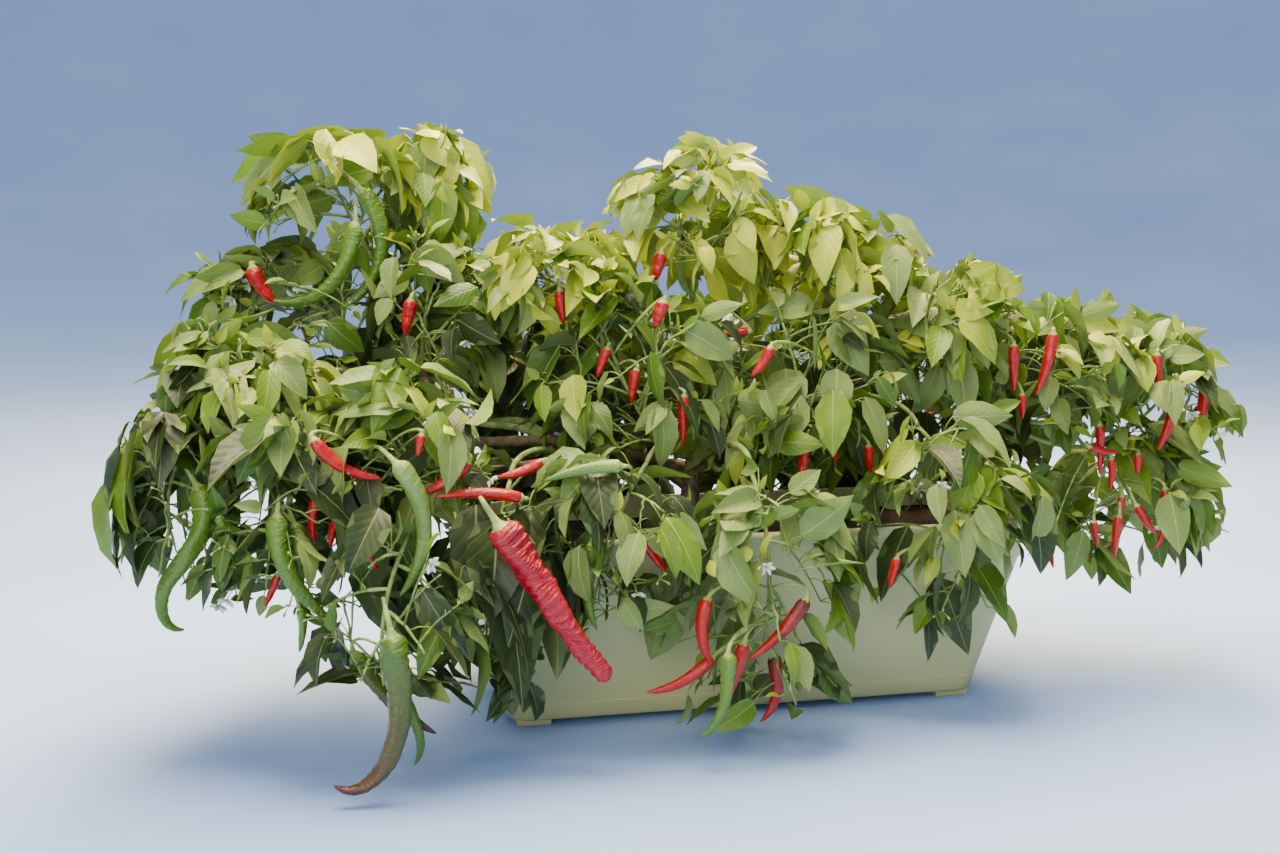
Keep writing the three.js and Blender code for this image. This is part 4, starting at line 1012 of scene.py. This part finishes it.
def leaf_samples(base, way, facing, length, width, bend):
    """Nine points on each blade, to test where it lies: three ways along, at the middle and both
    margins."""
    across = np.cross(facing, way)
    out = []
    for s in (0.35, 0.68, 1.0):
        angle = bend[:, :1] + (bend[:, 1:] - bend[:, :1]) * s / 2
        spine = base + (length[:, None] * s) * (np.cos(angle) * way - np.sin(angle) * facing)
        half = (width / 2 * leaf_outline(np.array(min(s, 0.97))))[:, None]
        out += [spine, spine + across * half, spine - across * half]
    return np.stack(out, 1)


def covers_pod(samples, bold):
    """True for each blade that comes too near to a pod, or hangs close over the outer side of a long
    one, or of any if it isn't a bold one. The blades are taken some at a time, to save memory."""
    lines, radii = pod_lines()
    long = np.repeat([row[2] > LONG_POD for row in PODS], lines.shape[1])
    spots, reach = lines.reshape(-1, 3).astype(np.float32), radii.ravel().astype(np.float32)
    outward = unit(np.where(spots[:, 1:2] < BACK_PODS, FRONT_WAY, BACK_WAY).astype(np.float32))
    hit = np.zeros(len(samples), bool)
    for first in range(0, len(samples), 400):
        some = slice(first, first + 400)
        apart = samples[some].astype(np.float32)[:, :, None] - spots
        ahead = np.sum(apart * outward, -1)
        near = np.linalg.norm(apart, axis=-1) < reach + POD_ROOM
        square = np.linalg.norm(apart - ahead[..., None] * outward, axis=-1)
        over = (ahead > 0) & (ahead < POD_VIEW) & (square < reach + POD_MARGIN)
        over &= long | ~bold[some, None, None]
        hit[some] = (near | over).any((1, 2))
    return hit


@functools.lru_cache(None)
def leaves(size, wide):
    """The leaves by the rule that the solids follow. Each tries turns sideways and drops, best first,
    until it stays in its mass's space and clear of the trough, the floor and the pods. A grown leaf's
    stalk arches out and its blade hangs from the end, and a young leaf stands on from its shoot. Gives
    arrays of the mass, the key, the place on the twig, the blade's base, way and facing, its length
    and width, how it bends and how grown it is."""
    mass, key, place, along, hand, grown = leaf_places()
    hand = hand[:, None]
    out = unit((place - CENTRE[mass]) / HALF[mass])
    sideways = unit(np.cross(along, NEAR_UP))
    stray = np.stack([chance(mass, key, code) for code in (71, 72, 73)], -1) - 0.5
    wander = np.stack([chance(mass, key, code) for code in (74, 75, 76)], -1) - 0.5
    small = (grown < 0.6)[:, None]
    length = LEAF_LENGTH[mass] * size * grown * (0.62 + 0.66 * chance(mass, key, 42))
    width = length * wide * (0.82 + 0.34 * chance(mass, key, 43))
    bend = np.radians(np.stack([-14 + 14 * chance(mass, key, 45), 8 + 50 * chance(mass, key, 46)], -1))
    stalk = ((14 + 26 * chance(mass, key, 48)) * np.clip(grown, 0.3, 1))[:, None]
    done = np.zeros(len(mass), bool)
    state = {name: np.zeros_like(place) for name in ("root", "way", "facing")}
    level = np.array([1, 1, 0])
    edge = (0.86 + 0.32 * chance(mass, key // LEAF_KEYS, 49))[:, None]
    for turn, drop in LEAF_TRIES:
        aside = sideways * (0.75 * hand + turn)
        leaving = unit(out * 0.5 + aside + along * 0.4 + UP * 0.4 + wander * 0.6)
        root = place + leaving * stalk
        ahead = unit((leaving + 0.3 * out) * level + 1e-6)
        sink = (1.3 * chance(mass, key, 47))[:, None] + drop - 0.9 * np.maximum(out[:, 2:], 0)
        hanging = unit(ahead * 0.75 - UP * sink + wander * 0.9)
        aside = sideways * (0.8 * hand + turn * 0.5)
        shoot = unit(along * 0.8 + aside + UP * 0.5 + wander * 0.9)
        way = np.where(small, shoot, hanging)
        facing = ahead * 0.6 + UP * 0.8 + stray * 1.9
        facing = unit(facing - way * dot(facing, way))
        samples = leaf_samples(root, way, facing, length, width, bend)
        which = np.broadcast_to(mass[:, None], samples.shape[:2])
        inside = (room_left(which, samples) > -OVERLAP).all(1) & (depth_in(which, samples) < edge).all(1)
        inside &= ((samples > NEAR) & (samples < FAR)).all((1, 2))
        in_trough = (np.abs(samples[..., :2]) < TROUGH_CLEAR).all(-1) & (samples[..., 2] < RIM_CLEAR)
        low = np.where(samples[..., 0] < LEFT_END, LEFT_CLEAR[mass][:, None], FLOOR_CLEAR)
        clear = (samples[..., 2] > low).all(1) & ~in_trough.any(1)
        good = inside & clear & ~done
        for name, value in (("root", root), ("way", way), ("facing", facing)):
            state[name][good] = value[good]
        done |= good
    samples = leaf_samples(*state.values(), length, width, bend)
    done &= ~covers_pod(samples, chance(mass, key, 78) < 0.5)
    over_rim = (place[:, 1] < RIM_DEPTH) & (np.abs(place[:, 0]) < RIM_LENGTH)
    over_rim &= np.abs(place[:, 2] - RIM_HEIGHT) < RIM_BAND
    done &= over_rim | (chance(mass, key, 77) < FULL[mass])
    return tuple(x[done] for x in (mass, key, place, *state.values(), length, width, bend, grown))


# Tones of the leaves, from young leaves with painted sunlight to dark ones with painted shade, and the
# masses whose leaves make each piece
TONES = ("young", "spring", "middle", "grey", "deep", "dark")
REGIONS = {
    "left": ["left_front", "left_mid", "front_dark", "left_hang", "left_outer", "left_tip", "tall_low",
             "back_left"],
    "tall": ["tall_left", "tall_right", "left_join", "saddle", "crown_peak", "centre_left",
             "front_left"],
    "middle": ["front_low", "back_mid_left", "back_mid_right", "peak_right", "centre_right",
               "back_low_left", "back_low_right"],
    "right": ["right_shoulder", "right_high", "right_tip", "right_droop", "right_front", "back_right"],
}
# How far a tone falls with height and with how far out a leaf is, from where that starts, which paints
# light on the top and outside of a mass and shade deep inside it, and how it varies by spray and by leaf
PAINTED_LIGHT_HEIGHT, PAINTED_LIGHT_OUT, TONE_FROM, TONE_SPRAY, TONE_LEAF = 0.22, 0.36, 0.45, 0.54, 0.34
# Share of the sprays that take the grey tone as a painted sheen from the sky
PAINTED_SHEEN_SHARE = 0.36


def leaf_tones(mass, key, place, grown):
    """A tone for each spray of leaves, from 0 for young leaves with painted sunlight to 5 for dark ones
    with painted shade: its mass's painted shade, less for a place high or far out in the mass, which
    paints light on the top and outside of a mass and shade deep inside it, and a chance share that
    neighbours on a twig have alike. Leaves of a shoot's tip are younger, and some grown sprays that
    aren't dark take the grey tone as a painted sheen from the sky."""
    out = (place - CENTRE[mass]) / HALF[mass]
    spray = chance(mass, key // LEAF_KEYS, 51)
    own = chance(mass, key, 52)
    far = np.linalg.norm(out, axis=-1)
    level = SHADE[mass] - PAINTED_LIGHT_HEIGHT * out[:, 2] - PAINTED_LIGHT_OUT * (far - TONE_FROM) + 0.2
    level = level + TONE_SPRAY * (spray - 0.5) + TONE_LEAF * (own - 0.5) - 0.2 * (grown < 0.7)
    darkest = len(TONES) - 1
    tone = np.clip(np.floor(level * len(TONES)), 0, darkest).astype(int)
    painted_sheen = (tone < darkest) & (grown > 0.7) & (chance(mass, key // LEAF_KEYS, 53) < PAINTED_SHEEN_SHARE)
    return np.where(painted_sheen, TONES.index("grey"), tone)


class PLANT_OT_leaves(bpy.types.Operator):
    """Hang the leaves on their stalks, with blades that fold, droop and wave"""
    bl_idname = "plant.leaves"
    bl_label = "Leaves"

    def execute(self, context):
        settings = context.scene.plant_leaves
        (mass, key, place, root, way, facing, length, width, bend,
         grown) = leaves(settings.size, settings.width)
        fold = np.radians(np.where(chance(mass, key, 54) < 0.75, 6 + 26 * chance(mass, key, 55), -14.0))
        phase = CIRCLE * chance(mass, key, 56)
        thick = settings.thickness * 1000
        blades = leaf_blades(root, way, facing, length, width, bend, fold, phase, thick)
        tone = leaf_tones(mass, key, place, grown)
        finishes = []
        for name in TONES:
            hexed = getattr(settings, name)
            finishes += [leaf_finish(f"{name.title()} leaf skin", hexed),
                         leaf_finish(f"{name.title()} leaf underside", hexed, True)]
        quads, tris, under = leaf_faces()
        uv = leaf_uv()
        for region, names in REGIONS.items():
            pick = np.isin(mass, [NAMES.index(name) for name in names])
            points = blades[pick]
            offset = np.arange(len(points))[:, None, None] * points.shape[1]
            index = [(tone[pick][:, None] * 2 + side).ravel() for side in under]
            faces = [(quads + offset).reshape(-1, 4), (tris + offset).reshape(-1, 3)]
            new_piece(f"leaves_{region}", points.reshape(-1, 3), faces, finishes,
                      [f"foliage_{name}" for name in names], index=index,
                      uv=np.tile(uv, (len(points), 1)), crease=70)
        reach = np.linalg.norm(root - place, axis=-1)[:, None]
        middle = mix(place, root, 0.55) + UP * 0.22 * reach
        paths = bezier(np.stack([place, middle, root + way * 2], 1), np.array([0, 0.4, 0.75, 1.0]))
        stalk = stem_finish("Green leaf stalk", "#6C8838", "#98AE56", 0.2)
        points, faces, _ = tubes(paths, np.array([[1.1, 0.85, 0.8, 0.75]]), 4)
        new_piece("leaf_stalks", points, faces, [stalk])
        return {"FINISHED"}


def pod_radius(s, kind):
    """Radius along a pod for a widest of 1: a shoulder that rounds in to the stalk, a long taper by a
    power of the way along, and a tip that rounds in over the last of it, blunt on the crimson one."""
    width, least, fall, power, end = POD_SHAPES.get(kind, POD_SHAPES["green"])
    shoulder = least + (1 - least) * np.sqrt(1 - np.clip(1 - s / width, 0, 1)**2)
    tip = np.sqrt(1 - np.clip(1 - (1 - s) / end, 0, 1)**2)
    return shoulder * (1 - fall * s**power) * tip


# How long the shoulder is against the pod, its least radius, how far and by what power the pod tapers,
# and how long its tip is
POD_SHAPES = {
    "crimson": (0.045, 0.45, 0.5, 0.8, 0.05),
    "red": (0.17, 0.42, 0.55, 1.4, 0.34),
    "ripening": (0.14, 0.42, 0.6, 1.3, 0.4),
    "green": (0.07, 0.4, 0.6, 1.2, 0.3),
}
# How rough each kind of pod is
POD_RELIEF = {"crimson": 2.0, "green": 1.2, "turning": 1.2, "pale": 0.8, "ripening": 0.7, "red": 0.7}
# How deep the creases across a pod are against its radius, and how far apart in millimetres
CREASES = {"crimson": 0.045, "green": 0.035, "turning": 0.03, "pale": 0.02}
CREASE = 4.6
# How many times finer than the usual grid a kind of pod is, along it and round it
POD_FINE = {"crimson": (5, 2), "green": (3, 1), "turning": (4, 1), "pale": (3, 1)}
# Rings of a calyx: how far down the pod each lies, its radius against the pod's, and how far its five
# teeth show
CAP_PLACES = np.array([-8, -5, -2, 0, 1.6, 2.6])
CAP_RADII = np.array([0.17, 0.2, 0.34, 0.5, 0.62, 0.6])
CAP_TEETH = np.array([0, 0, 0.2, 0.5, 0.9, 1.0])


def pod_skin(row, number, stations, sides):
    """Middle line and radii of one pod. The line sways by two sines. Onto the round radius go three
    slow lobes, dents, which are a product of a sine down the pod and one round it, ripples across it
    10 to 16 mm apart, and on all but red and ripening ones sharp creases CREASE apart, deepest along
    two ridges."""
    length, width, kind = row[2], row[3], row[7]
    even = np.linspace(0, 1, stations)
    s = mix(even, np.sin(np.pi * (even - 0.5)) / 2 + 0.5, 0.6)
    turn = turns(sides)
    line = pod_path(row, 200)
    path = np.stack([np.interp(s, np.linspace(0, 1, 200), line[:, axis]) for axis in range(3)], -1)
    sway = np.sin(s * 9 + number) * 0.03 * width + np.sin(s * 23 + 2 * number) * 0.012 * width
    path = path + (sway * np.sin(np.pi * s))[:, None] * np.array([0.5, 1, 0.2])
    down = s[:, None] * length
    lobes = 0.07 * np.cos(3 * turn + number + 2.4 * np.sin(down / 34 + number))
    dents = 0.06 * np.sin(down / 11 + 1.7 * np.sin(turn + number)) * np.sin(2 * turn + down / 31 + number)
    ripple = np.sin(down / 1.9 + 2.6 * np.sin(turn + number) + 1.3 * np.sin(3 * turn + down / 17))
    ripple = 0.045 * ripple * (0.6 + 0.4 * np.sin(down / 23 + 2 * turn))
    crease = np.sin(down * 2 * np.pi / CREASE + 2.4 * np.sin(down / 9) + 2 * np.sin(2 * turn + down / 7))
    deepest = np.cos(turn - 1 + 0.5 * np.sin(down / 30))**2
    crease = CREASES.get(kind, 0) * np.abs(crease)**0.6 * np.sign(crease) * deepest
    edge = np.clip(np.minimum(s, 1 - s) / 0.05, 0, 1)[:, None]
    relief = 1 + ((lobes + dents + ripple) * POD_RELIEF[kind] + crease) * edge
    return path, np.maximum(width / 2 * pod_radius(s, kind)[:, None] * relief, 0.25)


class PLANT_OT_pods(bpy.types.Operator):
    """Hang the pods, each with its calyx and stalk"""
    bl_idname = "plant.pods"
    bl_label = "Pods"

    def execute(self, context):
        settings = context.scene.plant_pods
        red, crimson, green, pale, brown = (
            getattr(settings, name) for name in ("red", "crimson", "green", "pale", "brown"))
        # Name of each skin, its colours from the stalk end to the tip, and how wrinkled it is
        skins = {
            "red": ("Ripe red", [(0.0, blend_hex(red, "#8A1208", 0.3)), (0.5, red)], 0.4),
            "crimson": ("Wrinkled crimson",
                        [(0.0, blend_hex(crimson, "#7A0A18", 0.3)), (0.5, crimson)], 0.8),
            "green": ("Green", [(0.0, blend_hex(green, "#8EAA3E", 0.4)), (0.8, green)], 0.5),
            "pale": ("Pale young", [(0.0, pale), (1.0, green)], 0.6),
            "turning": ("Turning",
                        [(0.0, green), (0.5, blend_hex(green, brown, 0.45)), (0.9, brown)], 0.5),
            "ripening": ("Ripening",
                         [(0.0, brown), (0.35, blend_hex(brown, red, 0.6)), (0.9, red)], 0.5),
        }
        finishes = {kind: pod_finish(f"{name} pod skin", stops, wrinkle)
                    for kind, (name, stops, wrinkle) in skins.items()}
        sides = settings.sides
        caps, cap_radii, stalks = [], [], []
        stems = limbs()[2]
        grown = {kind: ([], []) for kind in finishes}
        for number, row in enumerate(PODS):
            name, length, width, kind = row[0], row[2], row[3], row[7]
            fine, round_it = POD_FINE.get(kind, (1, 1))
            path, radius = pod_skin(row, number, settings.stations * fine, sides * round_it)
            grown[kind][0].append(path)
            grown[kind][1].append(radius)
            heading = unit(pod_path(row, 40)[1] - path[0])
            neck = path[0] - heading * (0.08 * length + 6)
            caps.append(path[0] + heading * CAP_PLACES[:, None] * (width / 19)**0.7)
            cap_radii.append(CAP_RADII * width / 2 + 0.6)
            stem = bezier(stems[NAMES.index(name)], np.linspace(0.1, 0.95, 18))
            start = stem[np.argmin(np.linalg.norm(stem - neck, axis=-1))]
            shoulder = mix(start, neck, 0.6) + UP * 0.16 * np.linalg.norm(neck - start)
            shoulder = mix(shoulder, neck - heading * 0.2 * length, np.clip(width / 40, 0, 1)**2)
            knee = mix(start, shoulder, 0.5) + UP * 3
            stalks.append([start, knee, shoulder, neck, path[0] - heading * 3])
        for kind, (paths, radii) in grown.items():
            points, faces, way = tubes(np.array(paths), np.array(radii), radii[0].shape[-1])
            new_piece(f"pods_{kind}", points, faces, [finishes[kind]],
                      uv=np.column_stack([0 * way, way]))
        calyx = stem_finish("Green calyx", "#6C8A36", "#A8BC66", 0.6)
        teeth = 1 + 0.16 * np.cos(5 * turns(sides)) * CAP_TEETH[:, None]
        points, faces, _ = tubes(np.array(caps), np.array(cap_radii)[..., None] * teeth, sides)
        new_piece("calyxes", points, faces, [calyx])
        t = np.linspace(0, 1, 14)
        widths = np.array([row[3] for row in PODS])[:, None]
        radii = (1.1 + widths * 0.06) * (0.75 + 0.6 * t**3)
        points, faces, _ = tubes(bezier(np.array(stalks), t), radii, 8)
        new_piece("pod_stalks", points, faces, [calyx])
        return {"FINISHED"}


# Share of the shoots that flower, over this height, share that are in bud, and buds to a shoot
FLOWERING, FLOWER_FLOOR = 0.055, 150
BUDDING, BUDS = 0.28, 3
# Petals to a flower, places along one, and half its width and thickness there
PETALS = 6
PETAL_PLACES = np.array([0, 4.0, 8.0, 11.5])
PETAL_WIDTHS = np.array([0.5, 2.7, 2.9, 0.3])[:, None] * np.array([1, 0.14, 1, 0.14])


class PLANT_OT_flowers(bpy.types.Operator):
    """Open small white flowers, and set buds on short stalks, at the tips of some shoots"""
    bl_idname = "plant.flowers"
    bl_label = "Flowers and buds"

    def execute(self, context):
        settings = context.scene.plant_leaves
        leaf_mass, leaf_key = leaves(settings.size, settings.width)[:2]
        mass, key, controls, order = twigs()
        bearers = twig_number(leaf_mass, leaf_key // LEAF_KEYS)
        bears = np.isin(twig_number(mass, key), bearers) & (order == 2)
        mass, key, tip = mass[bears], key[bears], controls[bears, 2]
        out = unit((tip - CENTRE[mass]) / HALF[mass])
        draw = chance(mass, key, 61)
        flower, bud = (draw < FLOWERING) & (tip[:, 2] > FLOWER_FLOOR), draw > 1 - BUDDING

        at, ways = tip[flower], out[flower]
        hang = unit(ways * 0.8 - UP * 0.7)
        middle = at + ways * 9 - UP * 5
        # Petals: thin, soft and white
        white = new_material("White petal", Roughness=0.6, **{"Base Color": colour("#E9ECDD")})[0]
        many = np.repeat(np.arange(len(at)), PETALS)
        ray = square_to(hang[many], np.tile(np.arange(PETALS), len(at)) * np.pi / 3)
        paths = middle[many][:, None] + PETAL_PLACES[:, None] * ray[:, None]
        paths = paths + hang[many][:, None] * (PETAL_PLACES * 0.45)[:, None]
        points, faces, _ = tubes(paths, PETAL_WIDTHS[None], 4)
        new_piece("petals", points, faces, [white])

        # Buds on other tips, fanned out by a third of a turn
        spot, aim, luck = (np.repeat(x[bud], BUDS, axis=0) for x in (tip, out, draw))
        ray = square_to(aim, np.tile(np.arange(BUDS), bud.sum()) * 2.1 + CIRCLE * luck)
        end = spot + unit(aim * 0.8 + ray * 0.8 + UP * 0.3) * (9 + 8 * luck)[:, None]
        starts = np.concatenate([at, spot])
        ends = np.concatenate([middle + hang * 2.5, end])
        bend = mix(starts, ends, 0.5) + UP * 2
        paths = bezier(np.stack([starts, bend, ends], 1), np.array([0, 0.4, 0.7, 0.85, 1]))
        points, faces, _ = tubes(paths, np.array([[0.6, 0.6, 0.8, 1.9, 1.2]]), 5)
        green = stem_finish("Green flower stalk", "#7C9844", "#B3C673", 0.2)
        new_piece("flower_stalks", points, faces, [green])
        return {"FINISHED"}


# Floor: a flat disc of this radius in metres, in a bowl of that one
FLAT, BOWL = 3.0, 12.0
# Sky: its colour and strength. Lamps: name, place in metres from the trough's foot, power, side and
# colour, each turned to the crown's middle
SKY = ("#F4F4EE", 1.05)
LAMPS = [
    ("overhead", (-0.2, 0.1, 3.0), 330, 2.2, "#FFEACA"),
    ("front", (-1.7, -2.7, 1.5), 76, 2.2, "#FFF8EA"),
    ("back", (0.6, 1.9, 2.5), 480, 1.8, "#FFDEA0"),
]
CROWN = np.array([0, 0, 0.4])
# Width of the camera's sensor in millimetres, and how far it sees in metres
SENSOR, SIGHT = 36, 60


class PLANT_OT_stage(bpy.types.Operator):
    """Set the pale floor, the soft lights and the camera"""
    bl_idname = "plant.stage"
    bl_label = "Stage"

    def execute(self, context):
        settings = context.scene.plant_stage
        scene = context.scene
        shift = MIDDLE / 1000
        mesh = bpy.data.meshes.new("floor")
        rise = np.linspace(0, np.pi / 2, 25)[:-1, None, None]
        turn = turns(96)
        ring = np.stack([np.cos(turn), np.sin(turn), 0 * turn], -1)
        points, faces = loft((FLAT + BOWL * np.sin(rise)) * ring + (BOWL - BOWL * np.cos(rise)) * UP)
        rows = [row for block in faces[:2] for row in block[:, ::-1].tolist()]
        mesh.from_pydata(points, [], rows)
        mesh.polygons.foreach_set("use_smooth", np.ones(len(rows), bool))
        floor = bpy.data.objects.new("floor", mesh)
        scene.collection.objects.link(floor)
        # Pale painted floor: matt, with the faintest cloudiness
        material, tree = new_material("Pale matt floor", Roughness=0.7)
        cloud = object_noise(tree, 1.2, 3.0)
        tint = add(tree, "ValToRGB", {"Fac": cloud}, [(0.3, "#8CAAE0"), (0.7, "#98B6E8")])
        dress(tree, tint, object_noise(tree, 300.0), 0.05, 0.001)
        mesh.materials.append(material)

        world = bpy.data.worlds.new("Soft studio")
        scene.world = world
        world.use_nodes = True
        sky = world.node_tree.nodes["Background"]
        sky.inputs["Color"].default_value = colour(SKY[0])
        sky.inputs["Strength"].default_value = SKY[1]

        for name, place, power, width, tint in LAMPS:
            lamp = bpy.data.lights.new(name, "AREA")
            lamp.energy, lamp.size = power, width
            lamp.color = colour(tint)[:3]
            holder = bpy.data.objects.new(name, lamp)
            holder.location = np.array(place) + shift
            holder.rotation_euler = Vector(CROWN - np.array(place)).to_track_quat("-Z", "Y").to_euler()
            scene.collection.objects.link(holder)

        lens = bpy.data.cameras.new("camera")
        lens.lens, lens.sensor_width, lens.clip_end = settings.lens, SENSOR, SIGHT
        camera = bpy.data.objects.new("camera", lens)
        camera.location = np.array(settings.camera) + shift
        camera.rotation_euler = (np.pi / 2 - settings.pitch, 0, -settings.yaw)
        scene.collection.objects.link(camera)
        scene.camera = camera
        return {"FINISHED"}


class PLANT_PT_panel(bpy.types.Panel):
    """Lists the pieces of the plant"""
    bl_label = "Chilli Pepper Plant"
    bl_space_type = "VIEW_3D"
    bl_region_type = "UI"
    bl_category = "Plant"

    def draw(self, context):
        for operator in OPERATORS:
            self.layout.operator(operator.bl_idname)
        for name in SETTINGS:
            group = getattr(context.scene, name)
            for key in group.__annotations__:
                self.layout.prop(group, key)


OPERATORS = (PLANT_OT_trough, PLANT_OT_soil, PLANT_OT_limbs, PLANT_OT_twigs, PLANT_OT_leaves,
             PLANT_OT_pods, PLANT_OT_flowers, PLANT_OT_stage)
SETTINGS = {"plant_leaves": LeafSettings, "plant_pods": PodSettings, "plant_trough": TroughSettings,
            "plant_stage": StageSettings}


def register():
    """Registers the settings, the operators and the panel."""
    for group in (*SETTINGS.values(), *OPERATORS, PLANT_PT_panel):
        bpy.utils.register_class(group)
    for name, group in SETTINGS.items():
        setattr(bpy.types.Scene, name, PointerProperty(type=group))


def unregister():
    """Takes them out again."""
    for name in SETTINGS:
        delattr(bpy.types.Scene, name)
    for group in (PLANT_PT_panel, *reversed(OPERATORS), *SETTINGS.values()):
        bpy.utils.unregister_class(group)


def main():
    """Builds every piece in order."""
    register()
    bpy.ops.plant.trough()
    bpy.ops.plant.soil()
    bpy.ops.plant.limbs()
    bpy.ops.plant.twigs()
    bpy.ops.plant.leaves()
    bpy.ops.plant.pods()
    bpy.ops.plant.flowers()
    bpy.ops.plant.stage()


if __name__ == "__main__":
    main()
